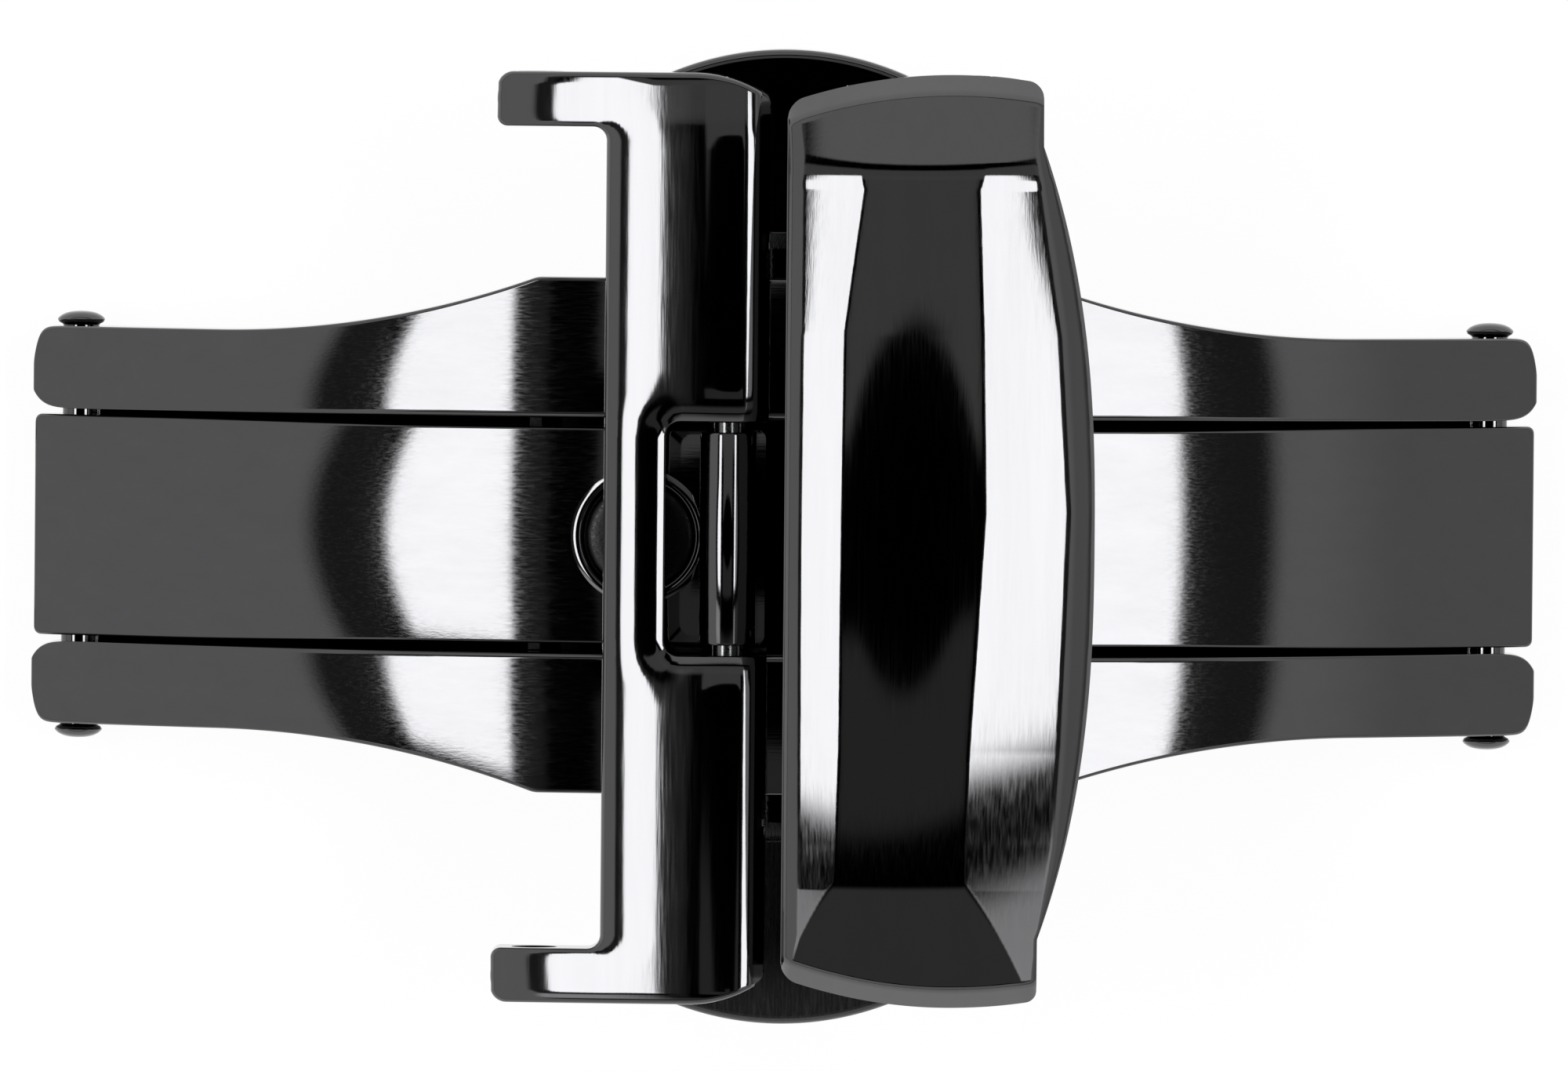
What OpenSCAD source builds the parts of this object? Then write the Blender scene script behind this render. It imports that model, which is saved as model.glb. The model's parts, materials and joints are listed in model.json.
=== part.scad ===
// Butterfly clasp with two side push buttons, for a leather or rubber watch strap.
// X runs along the strap, Y across it and Z away from the wrist. The clasp is closed and
// stands on its rail ends, with the origin under its middle. Sizes are in millimetres.
// West, east, north and south are -X, +X, +Y and -Y.

/* [Side frames] */
// Length over the rail ends
clasp_l = 33.4; // [31:0.1:37]
// Outside radius of the curve
arc_r = 26; // [24:0.5:30]
// Thickness of the rails
rail_t = 1.6; // [1.4:0.1:1.9]
// Width of each rail
rail_w = 1.83; // [1.6:0.01:2.4]
// Length of the wide middle of each side frame
plate_l = 10.9; // [9.5:0.1:12.5]
// How far that middle stands out past the rails
plate_step = 1.26; // [0.8:0.02:1.4]
// Radius of the flare between rail and middle
flare_r = 20.5; // [12:0.5:24]
// Radius of the corners in plan
plan_corner_r = 0.6; // [0.2:0.05:0.7]
// From the rail ends to the hinge pins
pin_inset = 1.05; // [1:0.05:1.2]

/* [Wings] */
// Width of a wing blade
wing_w = 4.76; // [4.6:0.02:5.4]
// Thickness of a wing blade
wing_t = 1.3; // [1:0.1:1.5]
// How far the blades lie below the rails
wing_drop = 0.05; // [0:0.05:0.2]
// Gap on each side of a blade
wing_play = 0.2; // [0.1:0.05:0.3]
// Gap under a blade
floor_play = 0.1; // [0.05:0.05:0.2]
// Gap between the two blades over the middle
wing_gap = 0.8; // [0.4:0.1:1]
// Radius of a blade's outer corners in plan
wing_corner_r = 0.15; // [0.1:0.01:0.3]

/* [Hinges] */
// Diameter of the pins at the rail ends
hinge_pin_d = 0.8; // [0.6:0.05:0.9]
// Diameter of their domed heads
pin_head_d = 1.1; // [1:0.05:1.3]
// Height of their domed heads
pin_head_h = 0.35; // [0.2:0.05:0.45]
// Distance from the middle to each strap hinge
knuckle_x = 1.22; // [1.2:0.01:1.4]
// Outside diameter of a wing knuckle
knuckle_d = 1.24; // [1.1:0.02:1.3]
// How far its sides lie inside the blade's
knuckle_inset = 0.05; // [0.02:0.01:0.15]
// Diameter of the pin in a knuckle
strap_pin_d = 0.64; // [0.5:0.02:0.7]
// How far its ends lie inside the frame's length
strap_pin_sink = 0.3; // [0.25:0.01:0.5]
// Diameter of the rounded nose round that pin
nose_d = 1.76; // [1.6:0.02:1.8]
// Gap between the nose and the blades' curve
nose_play = 0.08; // [0.05:0.01:0.15]
// Radial play of a turning pin
run_play = 0.03; // [0.02:0.01:0.06]
// Play round a fixed pin, stem or cover
fixed_play = 0.02; // [0.01:0.01:0.04]

/* [Strap frame] */
// Width of the strap
strap_w = 18; // [16:0.5:20]
// Thickness of each prong across the strap
prong_w = 1.2; // [1:0.05:1.5]
// Length of the cross bar along X, nose included
bar_l = 3.6; // [3.2:0.1:4]
// Length of the prongs past the cross bar
prong_l = 2.4; // [2.2:0.1:3]
// Radius of the crown of the frame along X
frame_crown_r = 21; // [16:0.5:28]
// Radius of the inner corners
inner_corner_r = 0.5; // [0.2:0.05:0.8]
// Radius of the outer corners beside the nose
outer_corner_r = 2.9; // [2.8:0.1:3.4]
// Length of those corners along X
outer_corner_l = 1.7; // [1.4:0.1:2]
// Radius of the corners at the prong tips
tip_r = 0.35; // [0.1:0.05:0.5]
// Gap between frame or cap and the curve below
frame_play = 0.15; // [0.1:0.05:0.3]
// Gap beside a knuckle in its recess
knuckle_play = 0.22; // [0.1:0.02:0.3]
// Depth of the knuckle recess behind the pin
recess_d = 1.36; // [1.3:0.02:1.5]
// Bore for the spring bar of the strap
bar_bore_d = 1; // [0.8:0.1:1.2]
// From the prong tips back to that bore
bar_bore_inset = 0.95; // [0.9:0.05:1.1]

/* [Strap cap] */
// Gap between the frame nose and the cap
cap_gap = 0.39; // [0.3:0.01:0.5]
// Length of the cap along X
cap_l = 6.75; // [6.5:0.05:7.5]
// Height of the cap above its pin
cap_h = 3; // [2.7:0.1:3.4]
// Lean of the west wall
lean = 0.33; // [0.2:0.01:0.5]
// Width of the west bevel
west_bevel = 0.9; // [0.6:0.1:1.2]
// Width of the flat roof
roof_flat = 3.1; // [2.6:0.1:3.3]
// Width of the east bevel
east_bevel = 1.65; // [1.2:0.05:1.8]
// Tilt of both bevels
bevel_a = 17.5; // [12:0.5:22]
// Radius of the roof across the strap
roof_r = 62; // [45:1:120]
// How much the east bevel follows that arch inwards as well, in degrees
bow_a = 45; // [20:1:50]
// From the middle to the north end facet, which crosses all the roof
north_crease = 8.1; // [7.6:0.1:8.6]
// From the middle to the south end facet, which is cut across as a hip
south_crease = 7.6; // [7.4:0.1:8.4]
// Tilt of the north end facet
north_a = 33; // [24:1:36]
// Tilt of the south end facet
south_a = 18; // [14:1:24]
// Width of the steep band under each end facet
end_band = 0.42; // [0.3:0.02:0.6]
// Tilt of those bands
band_a = 60; // [50:1:66]
// Radius of the east skirt in plan
skirt_r = 32.4; // [26:0.2:40]
// Half length of the skirt's arc
skirt_y = 8.66; // [8:0.02:9]
// Radius of the end edges in plan
end_r = 11; // [9:0.5:16]
// From the west wall to where the cap is widest
end_x = 3.65; // [3:0.05:4.5]
// Height of the west wall's upright foot above the pin
foot_h = 1.5; // [1:0.1:2]
// How far the west wall reaches below the pin
cap_toe = 0.35; // [0.2:0.01:0.4]
// Gap beside the strap in the cap
strap_room = 0.02; // [0.01:0.01:0.1]
// Thickness of the roof
roof_t = 0.8; // [0.6:0.05:1]
// Height of the skirt at its middle
skirt_h = 1.25; // [1:0.05:1.4]
// Bar left round the cap hinge, along X
cap_bar_l = 2.3; // [2.2:0.05:2.5]
// From the pin along X to the cap's spring bar bore, which is level with the pin
cap_bore_x = 3.4; // [3:0.1:4]

/* [Push buttons] */
// Span over both buttons
button_span = 21.44; // [21:0.02:22.4]
// Length of a button along X
button_l = 7; // [6.4:0.1:7.4]
// Radius of a button's outer face
button_r = 6.55; // [5.6:0.05:8]
// Travel of a button
travel = 0.3; // [0.2:0.02:0.34]
// Gap left when a button is pressed home
button_stop = 0.04; // [0.02:0.01:0.1]
// How far the buttons lie below the side frames
button_drop = 0.5; // [0.4:0.05:0.7]
// Height of a button
button_h = 3.2; // [2.9:0.05:3.4]
// Chamfer on a button's rim
button_chamfer = 0.25; // [0.1:0.05:0.35]
// How far the housing's guides stand out behind the buttons
guide_l = 0.9; // [0.8:0.02:1.2]
// Height of the guides above the wrist cover's face
guide_inset = 0.15; // [0:0.05:0.3]
// Depth of the catch plate in a button
stem_depth = 2.3; // [2:0.1:2.6]

/* [Latch] */
// Distance from the middle to each stud
stud_x = 3.18; // [3:0.02:3.3]
// Diameter of a stud's shank and tip
stud_d = 1.4; // [1.2:0.05:1.5]
// Diameter of its neck
neck_d = 1; // [0.8:0.05:1.1]
// Diameter of its peened disc
disc_d = 2.4; // [2.2:0.1:2.8]
// Thickness of its peened disc
disc_t = 0.45; // [0.3:0.05:0.5]
// Depth of the countersink round the disc
disc_sink = 0.12; // [0.08:0.01:0.2]
// Width of the bright countersink round the disc
sink_w = 0.26; // [0.1:0.02:0.4]
// Length of a stud's tip
tip_l = 0.35; // [0.25:0.05:0.4]
// Gap under a stud's tip
tip_room = 0.1; // [0.06:0.01:0.15]
// Thickness of the catch plates
catch_t = 0.5; // [0.4:0.05:0.55]
// Play above and below the catch plates at the neck
catch_play_z = 0.1; // [0.06:0.01:0.14]
// Gap between a stud's tip and the catch edges
catch_play = 0.05; // [0.03:0.01:0.08]
// Width of the catch hooks
hook_w = 0.6; // [0.4:0.05:0.7]
// Width of the catch arms
arm_w = 0.5; // [0.4:0.05:0.6]
// Gap beside the catch arms
arm_play = 0.12; // [0.08:0.01:0.2]
// Where the catch plate's cross bar begins
cross_y = 2.2; // [2.1:0.05:2.5]
// Width of that cross bar
cross_w = 0.6; // [0.4:0.05:0.7]
// Width of the stem
stem_w = 4.4; // [3.6:0.1:5]
// Width of the shoulders that hold the catch plate in
shoulder_w = 6.6; // [6:0.1:6.8]
// Diameter of the pins that hold a button to its plate
button_pin_d = 0.7; // [0.5:0.05:0.9]
// Distance between those pins
button_pin_span = 2.6; // [2:0.1:3]
// How far those pins reach past the catch plate
button_pin_reach = 0.4; // [0.2:0.05:0.6]

/* [Housing] */
// Height of the latch chamber
chamber_h = 1.4; // [1.3:0.05:1.6]
// Least floor between the chamber and the blades
floor_t = 0.4; // [0.3:0.05:0.5]
// Thickness of the walls
wall_t = 0.6; // [0.5:0.05:0.8]
// Thickness of the wrist cover
cover_t = 0.5; // [0.4:0.05:0.7]
// Ledge that the cover lies on
ledge = 0.3; // [0.2:0.02:0.35]
// How far the housing's sides lie inside the side frames' edges
house_inset = 0.25; // [0.15:0.05:0.4]
// Radius of the housing's corners
house_r = 0.8; // [0.4:0.1:1.2]
// Diameter of a cover screw
screw_d = 0.6; // [0.5:0.05:0.7]
// Diameter of a cover screw's head
screw_head_d = 1.1; // [0.9:0.05:1.2]
// Width of a screw's slot
screw_slot = 0.16; // [0.1:0.02:0.2]
// Wall round a cover screw
boss_wall = 0.35; // [0.3:0.01:0.4]

/* [Springs] */
// Outside diameter of a button spring
spring_d = 1; // [0.8:0.05:1.1]
// Diameter of its wire
wire_d = 0.2; // [0.14:0.01:0.24]
// Turns of a spring
turns = 4; // [3:1:5]
// Half the distance between the two springs of a button
spring_x = 0.8; // [0.7:0.05:1]
// Thickness of the rib that the springs stand on
rib_t = 0.4; // [0.3:0.05:0.6]

/* [Hidden] */

FINE = 180;
MEDIUM = 72;
COARSE = 40;
// Rings and steps per turn of a spring
RING = 6;
STEPS = 10;
// Reach of solids that only cut, overshoot of a cut, and overlap of joined solids
FAR = 40;
OVER = 1;
EPS = 0.01;

// Curve of the side frames and blades
mid_r = arc_r - rail_t / 2;
tail_x = clasp_l / 2 - rail_t / 2;
tail_z = rail_t / 2;
half_a = asin(tail_x / mid_r);
arc_z = tail_z - mid_r * cos(half_a);
pin_x = clasp_l / 2 - pin_inset;
pin_z = on_arc(pin_x, mid_r);
wing_r = arc_r - wing_drop;
floor_r = wing_r - wing_t - floor_play;
channel_y = wing_w / 2 + wing_play;
rail_y = channel_y + rail_w;
plate_y = rail_y + plate_step;
flare_x = plate_l / 2 + sqrt(2 * flare_r * plate_step - plate_step * plate_step);
function on_arc(x, r) = arc_z + sqrt(r * r - x * x);

// Strap hinges
nose_r = nose_d / 2;
knuckle_z = arc_z + arc_r + nose_play + nose_r;
frame_top = knuckle_z + nose_r;
frame_x = knuckle_x - nose_r;
half_w = strap_w / 2 + prong_w;
knuckle_y = wing_w / 2 - knuckle_inset;
recess_y = knuckle_y + knuckle_play;
tip_x = frame_x + bar_l + prong_l;
bar_bore_x = tip_x - bar_bore_inset;
bar_bore_z = (on_arc(bar_bore_x, arc_r + frame_play) + frame_top - frame_crown_r
    + sqrt(pow(frame_crown_r, 2) - pow(bar_bore_x - knuckle_x, 2))) / 2;

// Cap
cap_x = cap_gap - frame_x;
cap_east = cap_x + cap_l;
cap_top = knuckle_z + cap_h;
roof_x = cap_x + lean + west_bevel;
crease_x = roof_x + roof_flat;
bevel_z = cap_top - east_bevel * tan(bevel_a);
skirt_z = bevel_z - skirt_h;
arch_a = 20;
// Height of the end facets where their steep bands begin
north_z = cap_top - roof_drop(north_crease)
    - (half_w - end_band - north_crease) * tan(north_a);
south_z = cap_top - roof_drop(south_crease)
    - (half_w - end_band - south_crease) * tan(south_a);

// Latch chamber, from the stud outwards
stud_r = stud_d / 2;
sink_r = disc_d / 2 + sink_w;
swing_arm = pin_x - stud_x;
chamber_x = stud_x + stud_r + swing(catch_t + tip_l + catch_play_z) + 2 * arm_play + arm_w;
house_x = chamber_x + wall_t;
house_y = plate_y - house_inset;
chamber_y = house_y - wall_t;
guide_y = house_y + guide_l;
chamber_top = on_arc(house_x, floor_r) - floor_t;
chamber_z = chamber_top - chamber_h;
cover_z = chamber_z - cover_t;
catch_z = chamber_z + tip_l + catch_play_z + tip_room;
tip_top = catch_z - catch_play_z;
disc_top = on_arc(stud_x + sink_r, wing_r) - disc_sink;
inner_arm_x = stud_x - stud_r - arm_play - arm_w;
outer_arm_x = chamber_x - arm_play - arm_w;
hook_y = stud_r + catch_play;
boss_r = screw_d / 2 + boss_wall;
screw_l = cover_t + chamber_h - boss_wall / 2;
screw_x = chamber_x - boss_r;
screw_y = chamber_y - boss_r;
// How far any point of a stud moves outwards, at most, while it rises this much with its wing
function swing(rise) = let (a = asin(rise / swing_arm))
    swing_arm * (1 - cos(a)) + (arc_z + arc_r - rail_t - pin_z) * sin(a);

// Buttons
button_y = guide_y + travel + button_stop;
button_top = arc_z + arc_r - button_drop;
button_z = button_top - button_h;
button_pin_y = button_y + stem_depth / 2;
button_pin_l = catch_z + catch_t + button_pin_reach - button_z;

PVD = [0.13, 0.13, 0.14];
PVD_SOFT = [0.2, 0.2, 0.21];
STEEL = [0.62, 0.63, 0.65];

// Rod along Y, centred on the XZ plane
module y_rod(x, z, r, l, fn = MEDIUM)
    translate([x, l / 2, z])
        rotate([90, 0, 0])
            cylinder(r = r, h = l, $fn = fn);

// Extrusion along Y of an outline drawn in X and Z
module along_y(l)
    rotate([90, 0, 0])
        linear_extrude(height = l, center = true)
            children();

// Curved band about the arc's axis, w wide and a degrees to each side of the top
module arc_band(r_out, t, w, a)
    translate([0, 0, arc_z])
        rotate([90, 0, 0])
            rotate_extrude(angle = 2 * a, start = 90 - a, $fn = 2 * FINE)
                translate([r_out - t, -w / 2])
                    square([t, w]);

// Upright slot with round ends, from x0 to x1
module x_slot(x0, x1, r, z0, h) {
    translate([x0, 0, z0])
        cylinder(r = r, h = h, $fn = MEDIUM);
    translate([x1, 0, z0])
        cylinder(r = r, h = h, $fn = MEDIUM);
    translate([x0, -r, z0])
        cube([x1 - x0, 2 * r, h]);
}

// Upright box with round corners, from its half sizes in plan
module rounded_box(x, y, z0, h, r)
    translate([0, 0, z0])
        linear_extrude(height = h)
            offset(r = r, $fn = COARSE)
                square([2 * (x - r), 2 * (y - r)], center = true);

module in_corners(x, y)
    for (sx = [-1, 1], sy = [-1, 1])
        translate([sx * x, sy * y, 0])
            children();

// Plan of the north side frame: two rails that flare into a wide middle
module side_plan()
    offset(r = plan_corner_r, $fn = COARSE)
        offset(delta = -plan_corner_r)
            difference() {
                translate([-clasp_l / 2, channel_y])
                    square([clasp_l, plate_y - channel_y]);
                for (s = [-1, 1]) {
                    translate([s * flare_x, rail_y + flare_r])
                        circle(r = flare_r, $fn = FINE);
                    translate([s * (flare_x + clasp_l / 2), rail_y + plate_y / 2])
                        square([clasp_l, plate_y], center = true);
                }
            }

// North side frame, round at its ends just past the hinge pins
module side_frame()
    difference() {
        intersection() {
            union() {
                arc_band(arc_r, rail_t, 2 * plate_y + OVER, half_a);
                for (s = [-1, 1])
                    y_rod(s * tail_x, tail_z, rail_t / 2, 2 * rail_y);
            }
            translate([0, 0, -OVER])
                linear_extrude(height = FAR)
                    side_plan();
        }
        for (s = [-1, 1])
            y_rod(s * pin_x, pin_z, hinge_pin_d / 2 + fixed_play, 2 * rail_y + OVER);
    }

module side_frame_north()
    color(PVD)
        side_frame();

module side_frame_south()
    color(PVD)
        rotate(180)
            side_frame();

// Housing brazed under the side frames, with the floor of the blades' channel between them
module housing_blank()
    intersection() {
        union() {
            rounded_box(house_x, house_y, cover_z, FAR, house_r);
            translate([-button_l / 2, -guide_y, cover_z + guide_inset])
                cube([button_l, 2 * guide_y, FAR]);
        }
        union() {
            y_rod(0, arc_z, arc_r - rail_t - fixed_play, 2 * guide_y + OVER, 2 * FINE);
            y_rod(0, arc_z, floor_r, 2 * (channel_y - fixed_play), 2 * FINE);
        }
    }

// Slot for a stud in the floor under the east blade
module stud_passage()
    x_slot(stud_x, stud_x + swing(wing_r - floor_r + tip_l), stud_r + wing_play / 2,
        chamber_top - EPS, rail_t);

module stem_passage()
    translate([-stem_w / 2 - fixed_play, chamber_y - EPS, catch_z - fixed_play])
        cube([stem_w + 2 * fixed_play, guide_y - chamber_y + OVER, catch_t + 2 * fixed_play]);

module chamber() {
    difference() {
        translate([-chamber_x, -chamber_y, cover_z - OVER])
            cube([2 * chamber_x, 2 * chamber_y, chamber_top - cover_z + OVER]);
        in_corners(screw_x, screw_y)
            translate([-boss_r, -boss_r, chamber_z])
                cube([2 * boss_r, 2 * boss_r, chamber_h + OVER]);
        translate([-spring_x - spring_d, -rib_t / 2, chamber_z])
            cube([2 * (spring_x + spring_d), rib_t, chamber_h + OVER]);
    }
    rounded_box(chamber_x + ledge, chamber_y + ledge, cover_z - OVER, cover_t + OVER,
        house_r / 2);
}

module latch_housing()
    color(PVD)
        difference() {
            housing_blank();
            for (s = [0, 180])
                rotate(s) {
                    stud_passage();
                    stem_passage();
                }
            chamber();
            in_corners(screw_x, screw_y)
                translate([0, 0, chamber_z - EPS])
                    cylinder(r = screw_d / 2 + fixed_play, h = screw_l - cover_t, $fn = MEDIUM);
        }

module housing_cover()
    color(PVD)
        difference() {
            rounded_box(chamber_x + ledge - fixed_play, chamber_y + ledge - fixed_play,
                cover_z, cover_t - fixed_play, house_r / 2);
            in_corners(screw_x, screw_y)
                translate([0, 0, cover_z - EPS]) {
                    cylinder(r = screw_d / 2 + fixed_play, h = cover_t + OVER, $fn = MEDIUM);
                    cylinder(r = screw_head_d / 2 + fixed_play, h = cover_t / 2, $fn = MEDIUM);
                }
        }

module cover_screws()
    color(PVD_SOFT)
        in_corners(screw_x, screw_y)
            translate([0, 0, cover_z + fixed_play]) {
                difference() {
                    cylinder(r = screw_head_d / 2, h = cover_t / 2 - 2 * fixed_play,
                        $fn = MEDIUM);
                    translate([-screw_head_d, -screw_slot / 2, -EPS])
                        cube([2 * screw_head_d, screw_slot, cover_t / 4]);
                }
                translate([0, 0, cover_t / 4])
                    cylinder(r = screw_d / 2, h = screw_l - cover_t / 4 - 3 * fixed_play,
                        $fn = MEDIUM);
            }

// Pin through both rails with a domed head at each end
module hinge_pin() {
    head_r = pin_head_d / 2;
    dome_r = (head_r * head_r + pow(pin_head_h / 2, 2)) / pin_head_h;
    l = 2 * (rail_y + fixed_play);
    y_rod(0, 0, hinge_pin_d / 2, l);
    for (s = [0, 180])
        rotate(s)
            translate([0, l / 2, 0])
                rotate([-90, 0, 0])
                    intersection() {
                        cylinder(r = head_r, h = pin_head_h, $fn = MEDIUM);
                        translate([0, 0, pin_head_h - dome_r])
                            sphere(r = dome_r, $fn = FINE);
                    }
}

module hinge_pin_west()
    color(PVD)
        translate([-pin_x, 0, pin_z])
            hinge_pin();

module hinge_pin_east()
    color(PVD)
        translate([pin_x, 0, pin_z])
            hinge_pin();

// Outline in X and Z of the web that carries a knuckle on its blade
module knuckle_web() {
    r = knuckle_d / 2;
    foot_z = on_arc(knuckle_x, wing_r) - wing_t / 2;
    polygon([[knuckle_x - r, knuckle_z], [stud_x - sink_r - EPS, knuckle_z],
        [stud_x - sink_r - EPS, foot_z], [knuckle_x - r, foot_z]]);
}

module wing_plan() {
    l = clasp_l / 2 - wing_drop - wing_gap / 2;
    offset(r = wing_corner_r, $fn = COARSE)
        translate([wing_gap / 2 + wing_corner_r, wing_corner_r - wing_w / 2])
            square([l - 2 * wing_corner_r, wing_w - 2 * wing_corner_r]);
}

// East blade with its knuckle and its round tail
module wing()
    difference() {
        union() {
            intersection() {
                union() {
                    arc_band(wing_r, wing_t, wing_w, half_a);
                    y_rod(tail_x, tail_z, rail_t / 2 - wing_drop, wing_w);
                }
                translate([0, 0, -OVER])
                    linear_extrude(height = FAR)
                        wing_plan();
            }
            y_rod(knuckle_x, knuckle_z, knuckle_d / 2, 2 * knuckle_y);
            along_y(2 * knuckle_y)
                knuckle_web();
        }
        y_rod(pin_x, pin_z, hinge_pin_d / 2 + run_play, wing_w + OVER);
        y_rod(knuckle_x, knuckle_z, strap_pin_d / 2 + run_play, wing_w + OVER);
        translate([stud_x, 0, 0]) {
            cylinder(r = stud_r + fixed_play, h = FAR, $fn = MEDIUM);
            translate([0, 0, disc_top - disc_t - fixed_play])
                cylinder(r = disc_d / 2 + fixed_play, h = FAR, $fn = MEDIUM);
            translate([0, 0, disc_top])
                cylinder(r1 = disc_d / 2, r2 = sink_r, h = disc_sink, $fn = MEDIUM);
            translate([0, 0, disc_top + disc_sink - EPS])
                cylinder(r = sink_r, h = knuckle_z - knuckle_d / 2 - disc_top - disc_sink,
                    $fn = MEDIUM);
        }
    }

module wing_east()
    color(PVD)
        wing();

module wing_west()
    color(PVD)
        mirror([1, 0, 0])
            wing();

// Grooved stud that the catch plates hold, peened over in the blade
module stud() {
    translate([stud_x, 0, disc_top - disc_t])
        cylinder(r = disc_d / 2, h = disc_t, $fn = MEDIUM);
    translate([stud_x, 0, catch_z + catch_t + catch_play_z])
        cylinder(r = stud_r, h = disc_top - catch_z - catch_t - catch_play_z - EPS,
            $fn = MEDIUM);
    translate([stud_x, 0, tip_top - EPS])
        cylinder(r = neck_d / 2, h = catch_t + 2 * catch_play_z + 2 * EPS, $fn = MEDIUM);
    translate([stud_x, 0, tip_top - tip_l])
        cylinder(r1 = stud_r - tip_l / 2, r2 = stud_r, h = tip_l, $fn = MEDIUM);
}

module latch_stud_east()
    color(STEEL)
        stud();

module latch_stud_west()
    color(STEEL)
        mirror([1, 0, 0])
            stud();

// Outline in X and Z of the crowned bar, prongs and nose, drawn to the east
module frame_profile() {
    difference() {
        intersection() {
            translate([knuckle_x, frame_top - frame_crown_r])
                circle(r = frame_crown_r, $fn = 2 * FINE);
            translate([knuckle_x, 0])
                square([tip_x - knuckle_x, FAR]);
        }
        translate([0, arc_z])
            circle(r = arc_r + frame_play, $fn = 2 * FINE);
    }
    translate([knuckle_x, knuckle_z])
        circle(r = nose_r, $fn = MEDIUM);
}

// Plan of the strap frame, drawn to the east
module frame_plan() {
    corner_x = frame_x + outer_corner_l;
    corner_y = half_w - outer_corner_r;
    difference() {
        union() {
            offset(r = tip_r, $fn = COARSE)
                translate([corner_x + tip_r, tip_r - half_w])
                    square([tip_x - corner_x - 2 * tip_r, 2 * (half_w - tip_r)]);
            translate([corner_x, -half_w])
                square([bar_l - outer_corner_l, 2 * half_w]);
            translate([frame_x, -corner_y])
                square([bar_l, 2 * corner_y]);
            intersection() {
                translate([frame_x, -half_w])
                    square([bar_l, 2 * half_w]);
                for (s = [-1, 1])
                    translate([corner_x, s * corner_y])
                        circle(r = outer_corner_r, $fn = FINE);
            }
        }
        offset(r = inner_corner_r, $fn = COARSE)
            translate([frame_x + bar_l + inner_corner_r, inner_corner_r - strap_w / 2])
                square([prong_l + OVER, strap_w - 2 * inner_corner_r]);
    }
}

module strap_frame()
    color(PVD)
        mirror([1, 0, 0])
            difference() {
                intersection() {
                    along_y(2 * half_w)
                        frame_profile();
                    linear_extrude(height = FAR)
                        frame_plan();
                }
                translate([0, -recess_y, 0])
                    cube([knuckle_x + recess_d, 2 * recess_y, FAR]);
                y_rod(knuckle_x, knuckle_z, strap_pin_d / 2 + fixed_play, 2 * half_w + OVER);
                y_rod(bar_bore_x, bar_bore_z, bar_bore_d / 2, 2 * half_w + OVER);
            }

// Plain pin with rounded ends through a frame and its knuckle
module strap_pin() {
    r = strap_pin_d / 2;
    end_y = half_w - strap_pin_sink - r;
    y_rod(0, 0, r, 2 * end_y);
    for (s = [-1, 1])
        translate([0, s * end_y, 0])
            sphere(r = r, $fn = MEDIUM);
}

module strap_frame_pin()
    color(PVD_SOFT)
        translate([-knuckle_x, 0, knuckle_z])
            strap_pin();

module strap_cap_pin()
    color(PVD_SOFT)
        translate([knuckle_x, 0, knuckle_z])
            strap_pin();

function roof_drop(y) = roof_r - sqrt(roof_r * roof_r - y * y);

// Outline of the cap's top in X and Z, deep enough to be tilted, with its east side moved west
function cap_outline(bow) = [[cap_x, -2 * half_w], [cap_x, knuckle_z + foot_h],
    [cap_x + lean, cap_top - west_bevel * tan(bevel_a)], [roof_x, cap_top],
    [crease_x - bow, cap_top], [crease_x + east_bevel - bow, bevel_z],
    [cap_east - bow, skirt_z], [cap_east - bow, -2 * half_w]];

// Solid below an outline in X and Z that follows an arch over Y. The outline's point [x, cap_top]
// falls straight down, or westwards as well by the angle a.
module arched(x, a)
    translate([x, 0, cap_top])
        rotate([0, a, 0])
            translate([0, 0, -roof_r * cos(a)])
                rotate([0, 90, 0])
                    rotate_extrude(angle = 2 * arch_a, start = 180 - arch_a, $fn = 2 * FINE)
                        translate([roof_r * cos(a), 0])
                            mirror([1, -1])
                                rotate(a)
                                    translate([-x, -cap_top])
                                        children();

// Arched roof with its walls and bevels, without the end facets
module cap_crown()
    intersection() {
        arched(0, 0)
            polygon(concat([for (i = [0:3]) cap_outline(0)[i]],
                [[cap_east + OVER, cap_top], [cap_east + OVER, -2 * half_w]]));
        arched(crease_x, bow_a)
            polygon(concat([[cap_x - OVER, -2 * half_w],
                [cap_x - OVER, cap_top + (crease_x - cap_x + OVER) * tan(bevel_a)]],
                [for (i = [5:7]) cap_outline(0)[i]]));
    }

// Underside of the cap in X and Z: a bevel under the west wall, then an arc over the blades
module cap_under()
    difference() {
        polygon([[cap_x, FAR], [cap_x, knuckle_z - cap_toe],
            [knuckle_x - nose_r / 2, knuckle_z - nose_r * sin(60)], [knuckle_x, 0],
            [cap_east, 0], [cap_east, FAR]]);
        translate([0, arc_z])
            circle(r = arc_r + frame_play, $fn = 2 * FINE);
    }

module cap_plan() {
    skirt_x = cap_east - skirt_r + sqrt(skirt_r * skirt_r - skirt_y * skirt_y);
    translate([cap_x, -half_w])
        square([skirt_x - cap_x, 2 * half_w]);
    intersection() {
        translate([cap_x, -skirt_y])
            square([cap_l, 2 * skirt_y]);
        translate([cap_east - skirt_r, 0])
            circle(r = skirt_r, $fn = 2 * FINE);
    }
}

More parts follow.
